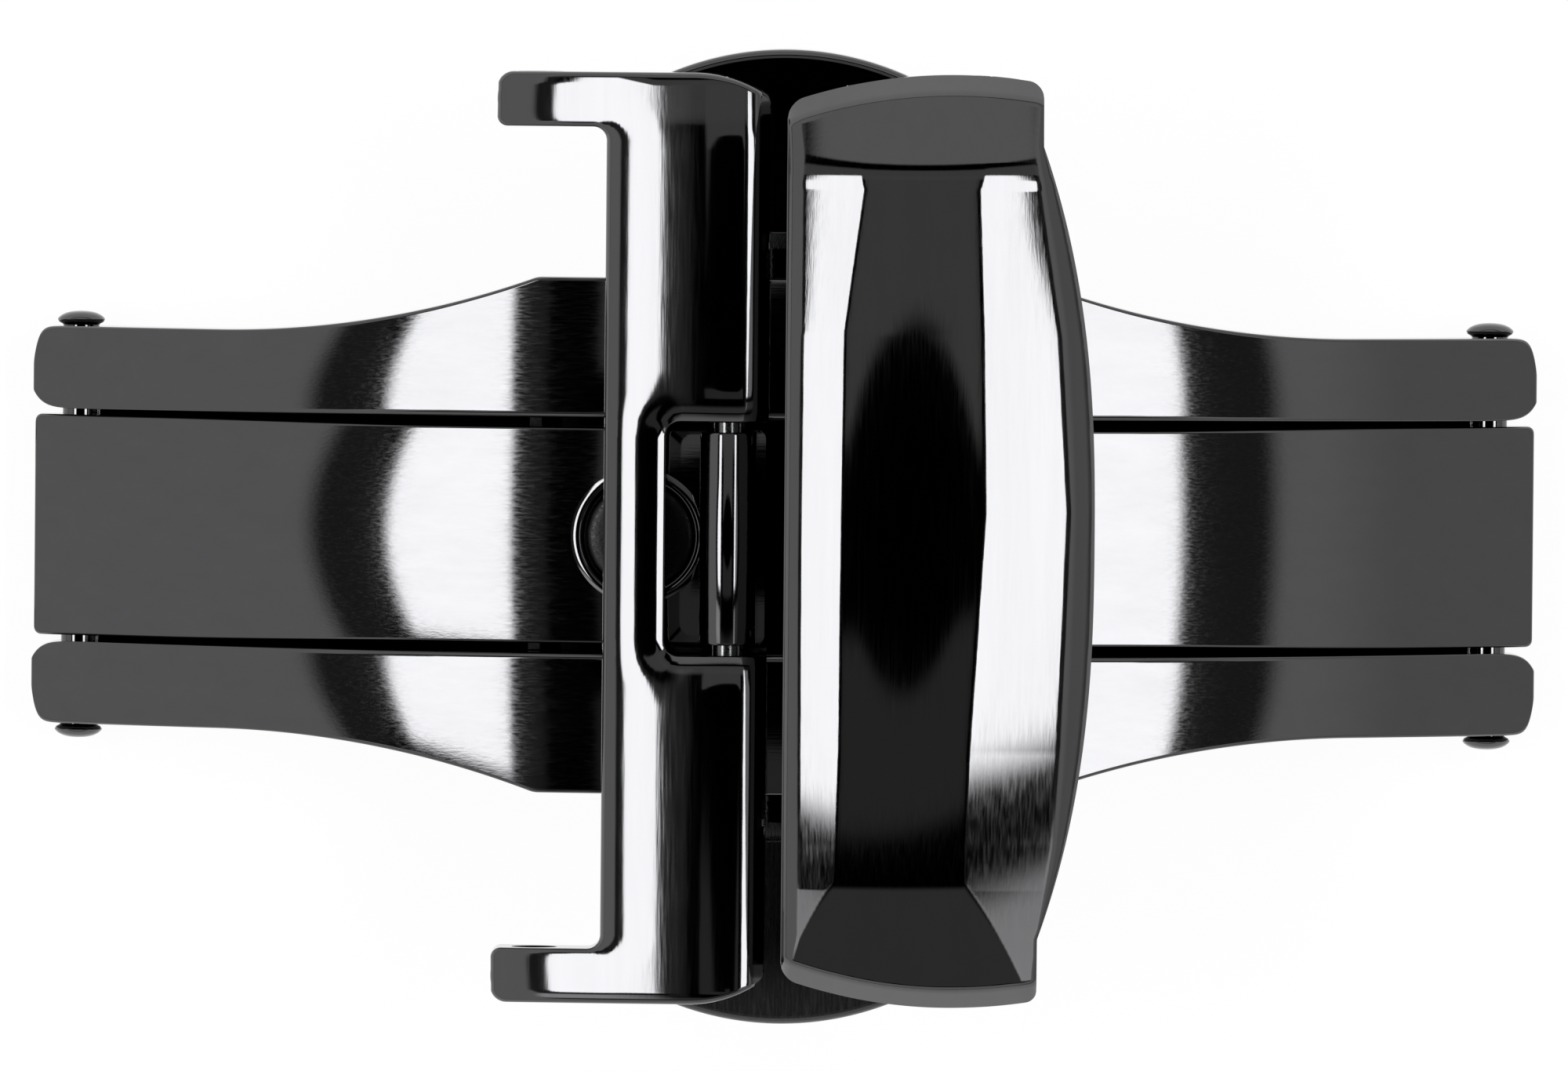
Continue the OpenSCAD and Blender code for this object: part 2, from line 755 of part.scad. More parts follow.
// Round end wall of the cap under a steep band that begins at height z
module cap_end(z)
    translate([cap_x + end_x, half_w - end_r, 0]) {
        cylinder(r = end_r, h = z, $fn = FINE);
        translate([0, 0, z - EPS])
            cylinder(r1 = end_r, r2 = end_r - (cap_top - z) / tan(band_a), h = cap_top - z,
                $fn = FINE);
    }

// Prism of the cap's outline that falls northwards, level with the arch at the crease
module north_facet()
    hull()
        for (y = [-2 * half_w, 2 * half_w])
            translate([0, y, -roof_drop(north_crease) - (y - north_crease) * tan(north_a)])
                along_y(EPS)
                    polygon(cap_outline(roof_drop(north_crease)
                        + (y - north_crease) * north_crease / roof_r));

// Outline in Y and Z of the plane that cuts the south end
module south_facet() {
    y = 2 * half_w;
    z = cap_top - roof_drop(south_crease);
    polygon([[-y, 0], [y, 0], [y, z + (y + south_crease) * tan(south_a)],
        [-y, z - (y - south_crease) * tan(south_a)]]);
}

module cap_blank()
    intersection() {
        cap_crown();
        along_y(2 * half_w + OVER)
            cap_under();
        linear_extrude(height = FAR)
            cap_plan();
        north_facet();
        rotate([90, 0, 90])
            linear_extrude(height = FAR, center = true)
                south_facet();
        cap_end(north_z - end_band * tan(band_a));
        mirror([0, 1, 0])
            cap_end(south_z - end_band * tan(band_a));
    }

// Hollow of the cap for the strap end, under a roof of even height, open to the east below
// the skirt and to the wrist
module strap_hollow() {
    inside_y = strap_w / 2 + strap_room;
    intersection() {
        translate([0, 0, -roof_t])
            cap_crown();
        translate([cap_x + cap_bar_l, -inside_y, 0])
            cube([cap_l, 2 * inside_y, FAR]);
    }
    translate([cap_x + cap_bar_l, -inside_y, 0])
        cube([cap_l, 2 * inside_y, skirt_z]);
}

module strap_cap()
    color(PVD)
        difference() {
            cap_blank();
            strap_hollow();
            translate([cap_x - OVER, -recess_y, 0])
                cube([cap_bar_l + OVER + EPS, 2 * recess_y, knuckle_z + knuckle_play / 2]);
            y_rod(knuckle_x, knuckle_z, (knuckle_d + knuckle_play) / 2, 2 * recess_y);
            y_rod(knuckle_x, knuckle_z, strap_pin_d / 2 + fixed_play, 2 * half_w + OVER);
            y_rod(knuckle_x + cap_bore_x, knuckle_z, bar_bore_d / 2, 2 * half_w + OVER);
        }

// North button: a slab whose outer face is an arc with chamfered rims
module button() {
    c = button_chamfer;
    difference() {
        intersection() {
            translate([0, button_span / 2 - button_r, button_z])
                rotate_extrude($fn = FINE)
                    polygon([[0, 0], [button_r - c, 0], [button_r, c],
                        [button_r, button_h - c], [button_r - c, button_h], [0, button_h]]);
            translate([-button_l / 2, button_y, button_z])
                cube([button_l, button_span, button_h]);
        }
        translate([-stem_w / 2 - fixed_play, button_y - OVER, catch_z - fixed_play])
            cube([stem_w + 2 * fixed_play, stem_depth + OVER + fixed_play,
                catch_t + 2 * fixed_play]);
        for (s = [-1, 1])
            translate([s * button_pin_span / 2, button_pin_y, button_z - EPS])
                cylinder(r = button_pin_d / 2 + fixed_play, h = button_pin_l + 2 * fixed_play,
                    $fn = MEDIUM);
    }
}

module button_north()
    color(PVD)
        button();

module button_south()
    color(PVD)
        rotate(180)
            button();

// Box from its corners in plan, as thick as a catch plate
module catch_box(x0, x1, y0, y1)
    translate([x0, y0, catch_z])
        cube([x1 - x0, y1 - y0, catch_t]);

// North catch plate: a stem, shoulders and two hooks that reach round the studs
module catch_plate()
    difference() {
        union() {
            catch_box(-stem_w / 2, stem_w / 2, cross_y, button_y + stem_depth);
            catch_box(-shoulder_w / 2, shoulder_w / 2, cross_y, chamber_y - button_stop);
            catch_box(0, outer_arm_x + arm_w, cross_y, cross_y + cross_w);
            catch_box(outer_arm_x, outer_arm_x + arm_w, -hook_y - hook_w, cross_y + EPS);
            catch_box(stud_x - stud_r + arm_play, outer_arm_x + arm_w, -hook_y - hook_w, -hook_y);
            catch_box(-inner_arm_x - arm_w, -inner_arm_x, -hook_y - hook_w, cross_y + EPS);
            catch_box(-stud_x - stud_r, -inner_arm_x, -hook_y - hook_w, -hook_y);
        }
        for (s = [-1, 1])
            translate([s * button_pin_span / 2, button_pin_y, catch_z - OVER])
                cylinder(r = button_pin_d / 2 + fixed_play, h = catch_t + 2 * OVER,
                    $fn = MEDIUM);
    }

module catch_plate_north()
    color(STEEL)
        catch_plate();

module catch_plate_south()
    color(STEEL)
        rotate(180)
            catch_plate();

// Two pins that hold a button on its catch plate
module button_pins()
    for (s = [-1, 1])
        translate([s * button_pin_span / 2, button_pin_y, button_z + fixed_play])
            cylinder(r = button_pin_d / 2, h = button_pin_l - fixed_play, $fn = MEDIUM);

module button_pins_north()
    color(STEEL)
        button_pins();

module button_pins_south()
    color(STEEL)
        rotate(180)
            button_pins();

// Compression spring from the rib to the north catch plate, one unbroken tube.
// Each ring is upright across the wire's mean circle, which is square enough for so
// flat a helix.
module spring() {
    l = cross_y - rib_t / 2 - 2 * fixed_play - wire_d;
    coil_r = (spring_d - wire_d) / 2;
    n = turns * STEPS;
    points = [for (i = [0:n], j = [0:RING - 1])
        let (a = 360 * i / STEPS, b = 360 * j / RING, r = coil_r + wire_d / 2 * cos(b))
        [r * cos(a), l * i / n + wire_d / 2 * sin(b), r * sin(a)]];
    walls = [for (i = [0:n - 1], j = [0:RING - 1], k = [0, 1])
        let (a = i * RING + j, b = i * RING + (j + 1) % RING)
        k == 0 ? [a, b, b + RING] : [a, b + RING, a + RING]];
    start = [for (j = [1:RING - 2]) [0, j + 1, j]];
    finish = [for (j = [1:RING - 2]) [n * RING, n * RING + j, n * RING + j + 1]];
    translate([0, rib_t / 2 + fixed_play + wire_d / 2, catch_z + catch_t / 2])
        polyhedron(points = points, faces = concat(walls, start, finish));
}

module spring_north_west()
    color(STEEL)
        translate([-spring_x, 0, 0])
            spring();

module spring_north_east()
    color(STEEL)
        translate([spring_x, 0, 0])
            spring();

module spring_south_west()
    color(STEEL)
        rotate(180)
            translate([spring_x, 0, 0])
                spring();

module spring_south_east()
    color(STEEL)
        rotate(180)
            translate([-spring_x, 0, 0])
                spring();

side_frame_north();
side_frame_south();
latch_housing();
housing_cover();
cover_screws();
hinge_pin_west();
hinge_pin_east();
wing_west();
wing_east();
latch_stud_west();
latch_stud_east();
strap_frame();
strap_frame_pin();
strap_cap();
strap_cap_pin();
button_north();
button_south();
catch_plate_north();
catch_plate_south();
button_pins_north();
button_pins_south();
spring_north_west();
spring_north_east();
spring_south_west();
spring_south_east();
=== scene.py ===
import bpy
import json
import math
import numpy as np
from mathutils import Matrix, Vector
from mathutils.geometry import delaunay_2d_cdt
from mathutils.kdtree import KDTree


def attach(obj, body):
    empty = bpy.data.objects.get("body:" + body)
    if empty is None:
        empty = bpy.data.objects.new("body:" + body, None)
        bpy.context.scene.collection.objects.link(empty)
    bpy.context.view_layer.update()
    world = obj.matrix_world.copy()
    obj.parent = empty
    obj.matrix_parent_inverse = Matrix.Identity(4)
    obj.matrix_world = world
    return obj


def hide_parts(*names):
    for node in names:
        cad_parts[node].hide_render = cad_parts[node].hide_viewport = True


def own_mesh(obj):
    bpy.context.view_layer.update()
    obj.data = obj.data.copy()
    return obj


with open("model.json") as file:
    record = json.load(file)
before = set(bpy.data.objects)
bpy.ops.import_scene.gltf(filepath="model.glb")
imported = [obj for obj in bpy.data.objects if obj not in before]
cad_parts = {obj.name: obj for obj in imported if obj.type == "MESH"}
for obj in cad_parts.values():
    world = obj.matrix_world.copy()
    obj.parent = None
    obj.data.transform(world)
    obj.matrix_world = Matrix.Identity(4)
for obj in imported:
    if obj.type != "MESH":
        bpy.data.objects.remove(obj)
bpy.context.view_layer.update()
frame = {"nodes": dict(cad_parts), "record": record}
MM = 0.001


# Camera: above the middle, leaning 1.6 degrees to the north, with a long lens
def make_camera():
    tilt, turn, roll = (math.radians(a) for a in (1.579, 0.096, 0.506))
    back = Vector((math.sin(turn), math.sin(tilt), math.cos(tilt))).normalized()
    right = (Vector((1, 0, 0)) - back * back.x).normalized()
    up = back.cross(right)
    right, up = right * math.cos(roll) + up * math.sin(roll), up * math.cos(roll) - right * math.sin(roll)
    data = bpy.data.cameras.new("camera")
    data.lens = 515.6
    data.sensor_width = 36
    data.clip_start = 0.01
    data.clip_end = 20
    camera = bpy.data.objects.new("camera", data)
    bpy.context.scene.collection.objects.link(camera)
    m = Matrix((right, up, back)).transposed().to_4x4()
    m.translation = Vector((0.84, 13.635, 500)) * MM
    camera.matrix_world = m
    bpy.context.scene.camera = camera


make_camera()
scene = bpy.context.scene
scene.view_settings.view_transform = "Standard"

# Sizes of the CAD model, in millimetres
CLASP_L, ARC_R, RAIL_T = 33.4, 26.0, 1.6
CHANNEL_Y, RAIL_Y, PLATE_Y, PLATE_X, FLARE_R = 2.58, 4.41, 5.67, 5.45, 20.5
WING_R, WING_T, WING_Y, WING_X = 25.95, 1.3, 2.38, 0.4
TAIL_X, TAIL_Z = CLASP_L / 2 - RAIL_T / 2, RAIL_T / 2
HALF_A = math.asin(TAIL_X / (ARC_R - RAIL_T / 2))
ARC_Z = TAIL_Z - (ARC_R - RAIL_T / 2) * math.cos(HALF_A)
PIN_X = CLASP_L / 2 - 1.05
PIN_Z = ARC_Z + math.sqrt((ARC_R - RAIL_T / 2) ** 2 - PIN_X ** 2)
KNUCKLE_X, KNUCKLE_R, KNUCKLE_Y, RECESS_Y = 1.22, 0.62, 2.33, 2.55
NOSE_R = 0.88
KNUCKLE_Z = ARC_Z + ARC_R + 0.08 + NOSE_R
# Radius of the undersides of the strap frame and the cap
UNDER_R = ARC_R + 0.15
FRAME_TOP = KNUCKLE_Z + NOSE_R
HALF_W = 10.2
STUD_X, DISC_R, SINK_R, DISC_SINK = 3.18, 1.2, 1.46, 0.12
# Slopes of the crowns at the edges of the rails and the blades, west and east
RAIL_TILT, BLADE_TILT = (0.105, 0.06), (0.1, 0.035)
DISC_TOP = ARC_Z + math.sqrt(WING_R ** 2 - (STUD_X + SINK_R) ** 2) - DISC_SINK


# Mesh tools. A shape is a list of points in millimetres, with faces and a normal for each corner.
class Shape:
    def __init__(self):
        self.points, self.faces, self.normals, self.index = [], [], [], {}

    def point(self, p):
        key = (round(p[0], 6), round(p[1], 6), round(p[2], 6))
        if key not in self.index:
            self.index[key] = len(self.points)
            self.points.append(key)
        return self.index[key]

    def face(self, corners, normals=None):
        ids, kept = [], []
        for k, p in enumerate(corners):
            i = self.point(p)
            if i not in ids:
                ids.append(i)
                kept.append(k)
        if len(ids) < 3:
            return
        self.faces.append(ids)
        self.normals.append([normals[k] for k in kept] if normals is not None else None)

    def grid(self, points, normals, flip=False):
        for i in range(len(points) - 1):
            for j in range(len(points[0]) - 1):
                q = [(i, j), (i + 1, j), (i + 1, j + 1), (i, j + 1)]
                if flip:
                    q.reverse()
                self.face([points[a][b] for a, b in q], [normals[a][b] for a, b in q])


def finish_mesh(mesh, normals):
    mesh.shade_smooth()
    loops = []
    for poly, given in zip(mesh.polygons, normals):
        for k in range(poly.loop_total):
            loops.append(Vector(poly.normal) if given is None else Vector(given[k]))
    mesh.normals_split_custom_set([n.normalized() for n in loops])


def make_object(name, shape, body, nodes, material):
    mesh = bpy.data.meshes.new(name)
    mesh.from_pydata([Vector(p) * MM for p in shape.points], [], shape.faces)
    mesh.update()
    finish_mesh(mesh, shape.normals)
    return add_piece(name, mesh, body, nodes, material)


def add_piece(name, mesh, body, nodes, material):
    obj = bpy.data.objects.new(name, mesh)
    scene.collection.objects.link(obj)
    mesh.materials.clear()
    mesh.materials.append(material)
    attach(obj, body)
    if nodes:
        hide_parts(*nodes)
    return obj


# The shape turned half round Z, or with X mirrored
def moved(shape, sx, sy):
    out = Shape()
    flip = sx * sy < 0
    for ids, normals in zip(shape.faces, shape.normals):
        corners = [(sx * x, sy * y, z) for x, y, z in (shape.points[i] for i in ids)]
        if normals is not None:
            normals = [(sx * n[0], sy * n[1], n[2]) for n in normals]
        if flip:
            corners.reverse()
            normals = None if normals is None else normals[::-1]
        out.face(corners, normals)
    return out


def unit(v):
    v = np.asarray(v, float)
    return v / max(np.linalg.norm(v), 1e-12)


# Band along X between two edges in plan, with round edges of radius e. Each function gives a
# value and its slope or normal. Crown gives how far the top falls at a place across the band,
# lip the width of a step along the low inner edge, and e_in the radius of the top inner edge.
def band(xs, y0, y1, top, bottom, e, crown, lip=None, e_in=None, steps=5, columns=10):
    shape = Shape()
    rows, normals = [], []
    up = np.array((0.0, 0.0, 1.0))
    for x in xs:
        a, sa = y0(x)
        b, sb = y1(x)
        zt, nt = top(x)
        zb, nb = bottom(x)
        r = max(min(e, 0.4 * (zt - zb), 0.45 * (b - a)), 0)
        ri = max(min(e_in(x), 0.4 * (zt - zb)), 0) if e_in else r
        n_low, n_high = unit((sa, -1, 0)), unit((-sb, 1, 0))
        turns = [math.radians(90 * k / steps) for k in range(steps + 1)]
        quarter = [(math.cos(t), math.sin(t)) for t in turns]
        row, nrow = [], []
        def add(y, z, n):
            row.append((x, y, z))
            nrow.append(n)
        def over(y):
            drop, slope = crown(x, y, a, b)
            return zt - drop * nt[2], unit((nt[0], nt[1] + slope * nt[2], nt[2]))
        for k in range(columns + 1):
            y = a + ri + (b - a - ri - r) * k / columns
            z, n = over(y)
            if 0 < k < columns:
                add(y, z, n)
        zh, nh = over(b - r)
        for c, s in quarter:
            add(b - r + r * s, zh - r + r * c, unit(c * nh + s * n_high))
        for c, s in quarter:
            add(b - r + r * c, zb + r - r * s, unit(c * n_high + s * nb))
        step, rise = (lip(x), min(0.15, 0.4 * (zt - zb))) if lip else (0, 0)
        low = a - step
        for k in range(1, 4):
            add(b - r - (b - low - 2 * r) * k / 4, zb, nb)
        for c, s in quarter:
            add(low + r - r * s, zb + r - r * c, unit(c * nb + s * n_low))
        if lip:
            for y, n in ((low, n_low), (low, up), (a, up), (a, n_low)):
                add(y, zb + max(rise, r), n)
        zl, nl = over(a + ri)
        for c, s in quarter:
            add(a + ri - ri * c, zl - ri + ri * s, unit(c * n_low + s * nl))
        row.append(row[0])
        nrow.append(nrow[0])
        rows.append(row)
        normals.append(nrow)
    shape.grid(rows, normals)
    shape.face(rows[0][:-1])
    shape.face(rows[-1][:-1][::-1])
    return shape


# Curves of the side frames and blades, as (height, unit normal)
def arc_top(r_out, tail_r, r=0.1):
    # The arc runs on to a small round at the tip
    x_tip = TAIL_X + tail_r - r
    a = math.asin(x_tip / (r_out - r))
    x_end, z_tip = r_out * math.sin(a), ARC_Z + (r_out - r) * math.cos(a)
    def f(x):
        s = 1 if x >= 0 else -1
        u = abs(x)
        if u <= x_end:
            z = math.sqrt(r_out ** 2 - u * u)
            return ARC_Z + z, np.array((x / r_out, 0, z / r_out))
        d = min(u - x_tip, r)
        z = math.sqrt(max(r ** 2 - d * d, 0))
        return z_tip + z, np.array((s * d / r, 0, z / r))
    return f


def arc_bottom(r_in, tail_r):
    x_end = r_in * math.sin(HALF_A)
    def f(x):
        s = 1 if x >= 0 else -1
        u = abs(x)
        arc = ARC_Z + math.sqrt(r_in ** 2 - u * u)
        d = u - TAIL_X
        low = TAIL_Z - math.sqrt(max(tail_r ** 2 - d * d, 0)) if abs(d) <= tail_r + 1e-5 else arc + 1
        if u <= x_end and arc < low:
            return arc, np.array((-x / r_in, 0, (ARC_Z - arc) / r_in))
        return low, np.array((s * d / tail_r, 0, (low - TAIL_Z) / tail_r))
    return f


def stations(x0, x1, tail_r, extra=()):
    xs = list(np.arange(x0, TAIL_X - tail_r * 0.7, 0.14))
    xs += [TAIL_X + tail_r * math.sin(math.radians(a)) for a in np.linspace(-44, 89.5, 40)]
    xs = [x for x in xs if x <= x1]
    xs += list(extra)
    return sorted(set(round(x, 5) for x in xs))


# West is -1 where the frame's own west end has the stronger crown, 1 where it's turned round
def side_frame(west):
    top, bottom = arc_top(ARC_R, RAIL_T / 2), arc_bottom(ARC_R - RAIL_T, RAIL_T / 2)
    end = CLASP_L / 2
    step = PLATE_Y - RAIL_Y
    flare_x = PLATE_X + math.sqrt(2 * FLARE_R * step - step * step)
    cy, fr = RAIL_Y + FLARE_R, 0.6
    # Fillet between the straight middle and the flare
    fx = flare_x - math.sqrt((FLARE_R + fr) ** 2 - (cy - PLATE_Y + fr) ** 2)
    tx = fx + fr * (flare_x - fx) / (FLARE_R + fr)
    def outer(x):
        s = 1 if x >= 0 else -1
        u = abs(x)
        cut = 0.8 * math.exp((u - end) / 0.1)
        if u >= flare_x:
            return RAIL_Y - cut, -s * cut / 0.1
        if u >= tx:
            d = math.sqrt(FLARE_R ** 2 - (flare_x - u) ** 2)
            return cy - d, -s * (flare_x - u) / d
        if u >= fx:
            d = math.sqrt(fr ** 2 - (u - fx) ** 2)
            return PLATE_Y - fr + d, -s * (u - fx) / d
        return PLATE_Y, 0
    def inner(x):
        s = 1 if x >= 0 else -1
        cut = 0.4 * math.exp((abs(x) - end) / 0.2)
        return CHANNEL_Y + cut, s * cut / 0.2
    def crown(x, y, low, high):
        d = max(y - low, 0)
        t = min(max(0.5 + west * x / 8, 0), 1)
        t = (RAIL_TILT[1] + t * (RAIL_TILT[0] - RAIL_TILT[1])) / (high - low)
        return t * d * d / 2, t * d
    # The lip reaches under the blade's edge, but not where the blade's tail swings
    def lip(x):
        u = abs(x)
        beside = (CHANNEL_Y - WING_Y - 0.006) * min(max((15.8 - u) / 0.1, 0), 1)
        return beside + 0.1 * min(max((14.4 - u) / 0.1, 0), 1)
    extra = list(np.linspace(fx - 0.05, tx + 0.1, 16)) + [end - 1.2 * (k / 30) ** 2 for k in range(31)]
    half = stations(0, end, RAIL_T / 2, extra)
    xs = [-x for x in half[::-1] if x > 0] + half
    def edge_in(x):
        return 0.04 + 0.12 * min(max((15.5 - abs(x)) / 8, 0), 1)
    return band(xs, inner, outer, top, bottom, 0.08, crown, lip, edge_in)


def blade(tilt):
    tail = RAIL_T / 2 - 0.05
    top, bottom = arc_top(WING_R, tail), arc_bottom(WING_R - WING_T, tail)
    end, r = TAIL_X + tail, 0.15
    def edge(s):
        def f(x):
            t = min(max((x - 7) / 7, 0), 1)
            w = WING_Y + 0.07 * t * t * (3 - 2 * t)
            if x > end - r:
                k = min((x - end + r) / r, 0.9999)
                return s * (w - r + r * math.sqrt(1 - k * k)), -s * k / math.sqrt(1 - k * k)
            if x < WING_X + r:
                k = min((WING_X + r - x) / r, 0.9999)
                return s * (w - r + r * math.sqrt(1 - k * k)), s * k / math.sqrt(1 - k * k)
            return s * w, 0
        return f
    def crown(x, y, low, high):
        return tilt * y * y / (2 * WING_Y), tilt * y / WING_Y
    extra = list(np.linspace(WING_X, WING_X + r, 8)) + list(np.linspace(end - r, end - 0.003, 14))
    return band(stations(WING_X, end, tail, extra), edge(-1), edge(1), top, bottom, 0.07, crown)


# Solid of revolution about a line along Y or Z, from (radius, height) pairs
def lathe(shape, profile, centre, axis, segments=64):
    pts = [np.array(p, float) for p in profile]
    rows, normals = [], []
    seg_n = []
    for a, b in zip(pts[:-1], pts[1:]):
        d = b - a
        seg_n.append(unit((d[1], -d[0])))
    for k in range(len(pts) - 1):
        for p in (pts[k], pts[k + 1]):
            rows.append(p)
            normals.append(seg_n[k])
    # Soft joins where two stretches meet at a small angle
    for k in range(1, len(seg_n)):
        if float(np.dot(seg_n[k - 1], seg_n[k])) > 0.8:
            n = unit(seg_n[k - 1] + seg_n[k])
            normals[2 * k - 1] = n
            normals[2 * k] = n
    def at(p, n, t):
        c, s = math.cos(t), math.sin(t)
        if axis == "y":
            return (centre[0] + p[0] * s, centre[1] + p[1], centre[2] + p[0] * c), (n[0] * s, n[1], n[0] * c)
        return (centre[0] + p[0] * c, centre[1] + p[0] * s, centre[2] + p[1]), (n[0] * c, n[0] * s, n[1])
    for k in range(0, len(rows), 2):
        grid, gn = [], []
        for i in range(segments + 1):
            t = 2 * math.pi * (i % segments) / segments
            ring = [at(rows[k + q], normals[k + q], t) for q in (0, 1)]
            grid.append([r[0] for r in ring])
            gn.append([r[1] for r in ring])
        shape.grid(grid, gn)
    return shape


# Slab between two height fields over an outline in plan, with round edges
def slab(outline, e_top, e_bottom, top, bottom, inside, steps):
    shape = Shape()
    pts = np.array(outline, float)
    nxt, prv = np.roll(pts, -1, 0), np.roll(pts, 1, 0)
    d1, d0 = nxt - pts, pts - prv
    d1 /= np.linalg.norm(d1, axis=1)[:, None]
    d0 /= np.linalg.norm(d0, axis=1)[:, None]
    n1 = np.stack((d1[:, 1], -d1[:, 0]), 1)
    n0 = np.stack((d0[:, 1], -d0[:, 0]), 1)
    n = n0 + n1
    n /= np.linalg.norm(n, axis=1)[:, None]
    miter = 1 / np.clip(np.sum(n * n0, 1), 0.5, 1)
    def rings(field, e, sign):
        out = []
        for k in range(steps + 1):
            a = math.radians(90 * k / steps)
            p = pts - n * (miter * e * (1 - math.sin(a)))[:, None]
            z, m = field(p[:, 0], p[:, 1])
            z = z - sign * e * (1 - math.cos(a))
            normal = math.cos(a) * m + math.sin(a) * np.column_stack((n, np.zeros(len(n))))
            sharp = (e < 1e-6)[:, None]
            normal = np.where(sharp, m, normal)
            normal /= np.linalg.norm(normal, axis=1)[:, None]
            out.append((np.column_stack((p, z)), normal))
        return out
    t_rings, b_rings = rings(top, e_top, 1), rings(bottom, e_bottom, -1)
    walls = t_rings + b_rings[::-1]
    count = len(pts)
    for k in range(len(walls) - 1):
        (pa, na), (pb, nb) = walls[k], walls[k + 1]
        for i in range(count):
            j = (i + 1) % count
            corners = [tuple(p) for p in (pa[i], pb[i], pb[j], pa[j])]
            shape.face(corners, [na[i], nb[i], nb[j], na[j]])
    for (ring, normal), field, up in ((t_rings[0], top, True), (b_rings[0], bottom, False)):
        v = [Vector(p[:2]) for p in ring]
        grid = [Vector(p) for p in inside]
        res = delaunay_2d_cdt(v + grid, [], [list(range(count))], 1, 1e-7)
        co = np.array([tuple(p) for p in res[0]])
        z, m = field(co[:, 0], co[:, 1])
        for q, src in enumerate(res[3]):
            first = [s for s in src if s < count]
            if first:
                z[q] = ring[first[0]][2]
                co[q] = ring[first[0]][:2]
                m[q] = normal[first[0]]
        for f in res[2]:
            f = list(f)
            (xa, ya), (xb, yb), (xc, yc) = (co[i] for i in f)
            area = (xb - xa) * (yc - ya) - (xc - xa) * (yb - ya)
            if (area > 0) != up:
                f.reverse()
            shape.face([(co[i][0], co[i][1], z[i]) for i in f], [m[i] for i in f])
    return shape


def arc_points(cx, cy, r, a0, a1, count):
    turns = [math.radians(a) for a in np.linspace(a0, a1, count)]
    return [(cx + r * math.cos(t), cy + r * math.sin(t)) for t in turns]


def line_points(a, b, step):
    count = max(int(round(math.dist(a, b) / step)), 1)
    return [(a[0] + (b[0] - a[0]) * k / count, a[1] + (b[1] - a[1]) * k / count) for k in range(count)]


# Points inside an outline that are some way off it, or that keep accepts
def inner_points(outline, xs, ys, margin, keep=lambda x, y: False):
    poly = np.array(outline)
    gx, gy = np.meshgrid(xs, ys)
    gx, gy = gx.ravel(), gy.ravel()
    a, b = poly, np.roll(poly, -1, 0)
    inside = np.zeros(len(gx), bool)
    near = np.full(len(gx), 1e9)
    for p, q in zip(a, b):
        cross = (p[1] > gy) != (q[1] > gy)
        with np.errstate(divide="ignore", invalid="ignore"):
            xi = (q[0] - p[0]) * (gy - p[1]) / (q[1] - p[1]) + p[0]
        inside ^= cross & (gx < xi)
        d = q - p
        t = np.clip(((gx - p[0]) * d[0] + (gy - p[1]) * d[1]) / max(d @ d, 1e-12), 0, 1)
        near = np.minimum(near, np.hypot(gx - p[0] - t * d[0], gy - p[1] - t * d[1]))
    kept = np.array([keep(x, y) for x, y in zip(gx, gy)])
    ok = inside & ((near > margin) | kept)
    return list(zip(gx[ok], gy[ok]))


# Running total of a slope that is given at a few places and straight in between
def total(places, slopes):
    return np.concatenate(((0,), np.cumsum(np.diff(places) * (slopes[1:] + slopes[:-1]) / 2)))


# Fall of the strap frame's top west of its pin, and its slope
FALL_X = np.array((0, 0.3, 0.72, 1.1, 1.57, 2.7, 3.8, 4.3, 5.2))
FALL_TILT = np.tan(np.radians((0, 6, 11.5, 12.5, 13.7, 15, 19, 24, 32)))


def frame_fall(u):
    falls = total(FALL_X, FALL_TILT)
    u = np.clip(u, 0, FALL_X[-1])
    k = np.clip(np.searchsorted(FALL_X, u, "right") - 1, 0, len(FALL_X) - 2)
    w = u - FALL_X[k]
    grow = (FALL_TILT[k + 1] - FALL_TILT[k]) / (FALL_X[k + 1] - FALL_X[k])
    return falls[k] + FALL_TILT[k] * w + grow * w * w / 2, FALL_TILT[k] + grow * w


# Strap frame, drawn with its nose at the low end of X and mirrored when it's done
NOSE_X, BAR_X, TIP_X = 0.34, 3.94, 6.34
OPEN_Y, SOFT_R, RECESS_X = 9.0, 0.3, KNUCKLE_X + 1.36
# The height follows this share of the long falls, and the normals follow them in full
FALL_SHARE = 0.35
# The nose falls away steeply, so that the cap's edge passes it as the cap lifts
NOSE_STEP = 0.005
NOSE_ROWS = np.arange(NOSE_X, 1.06, NOSE_STEP)
NOSE_TILT = np.interp(NOSE_ROWS, (0.34, 0.36, 0.55, 0.6, 0.67, 0.7, 0.84, 0.88, 1.05),
                      (86, 62, 62, 40, 24, 20.5, 13.6, 11, 0))
NOSE_SLOPE = np.tan(np.radians(NOSE_TILT))
NOSE_FALL = np.cumsum(NOSE_SLOPE[::-1])[::-1] * NOSE_STEP
# Slopes at distances from the edge of the strap's opening, and of the knuckle's recess
OPEN_REACH = np.array((0, 0.12, 0.2, 0.32, 0.4, 0.6, 0.9, 1.2))
OPEN_SLOPE = np.array((0.75, 0.4, 0.26, 0.18, 0.124, 0.08, 0.03, 0))
RIM_REACH = np.array((0, 0.02, 0.19, 0.27, 0.45, 0.75, 1.2))
RIM_SLOPE = np.array((0.75, 0.61, 0.5, 0.26, 0.16, 0.05, 0))
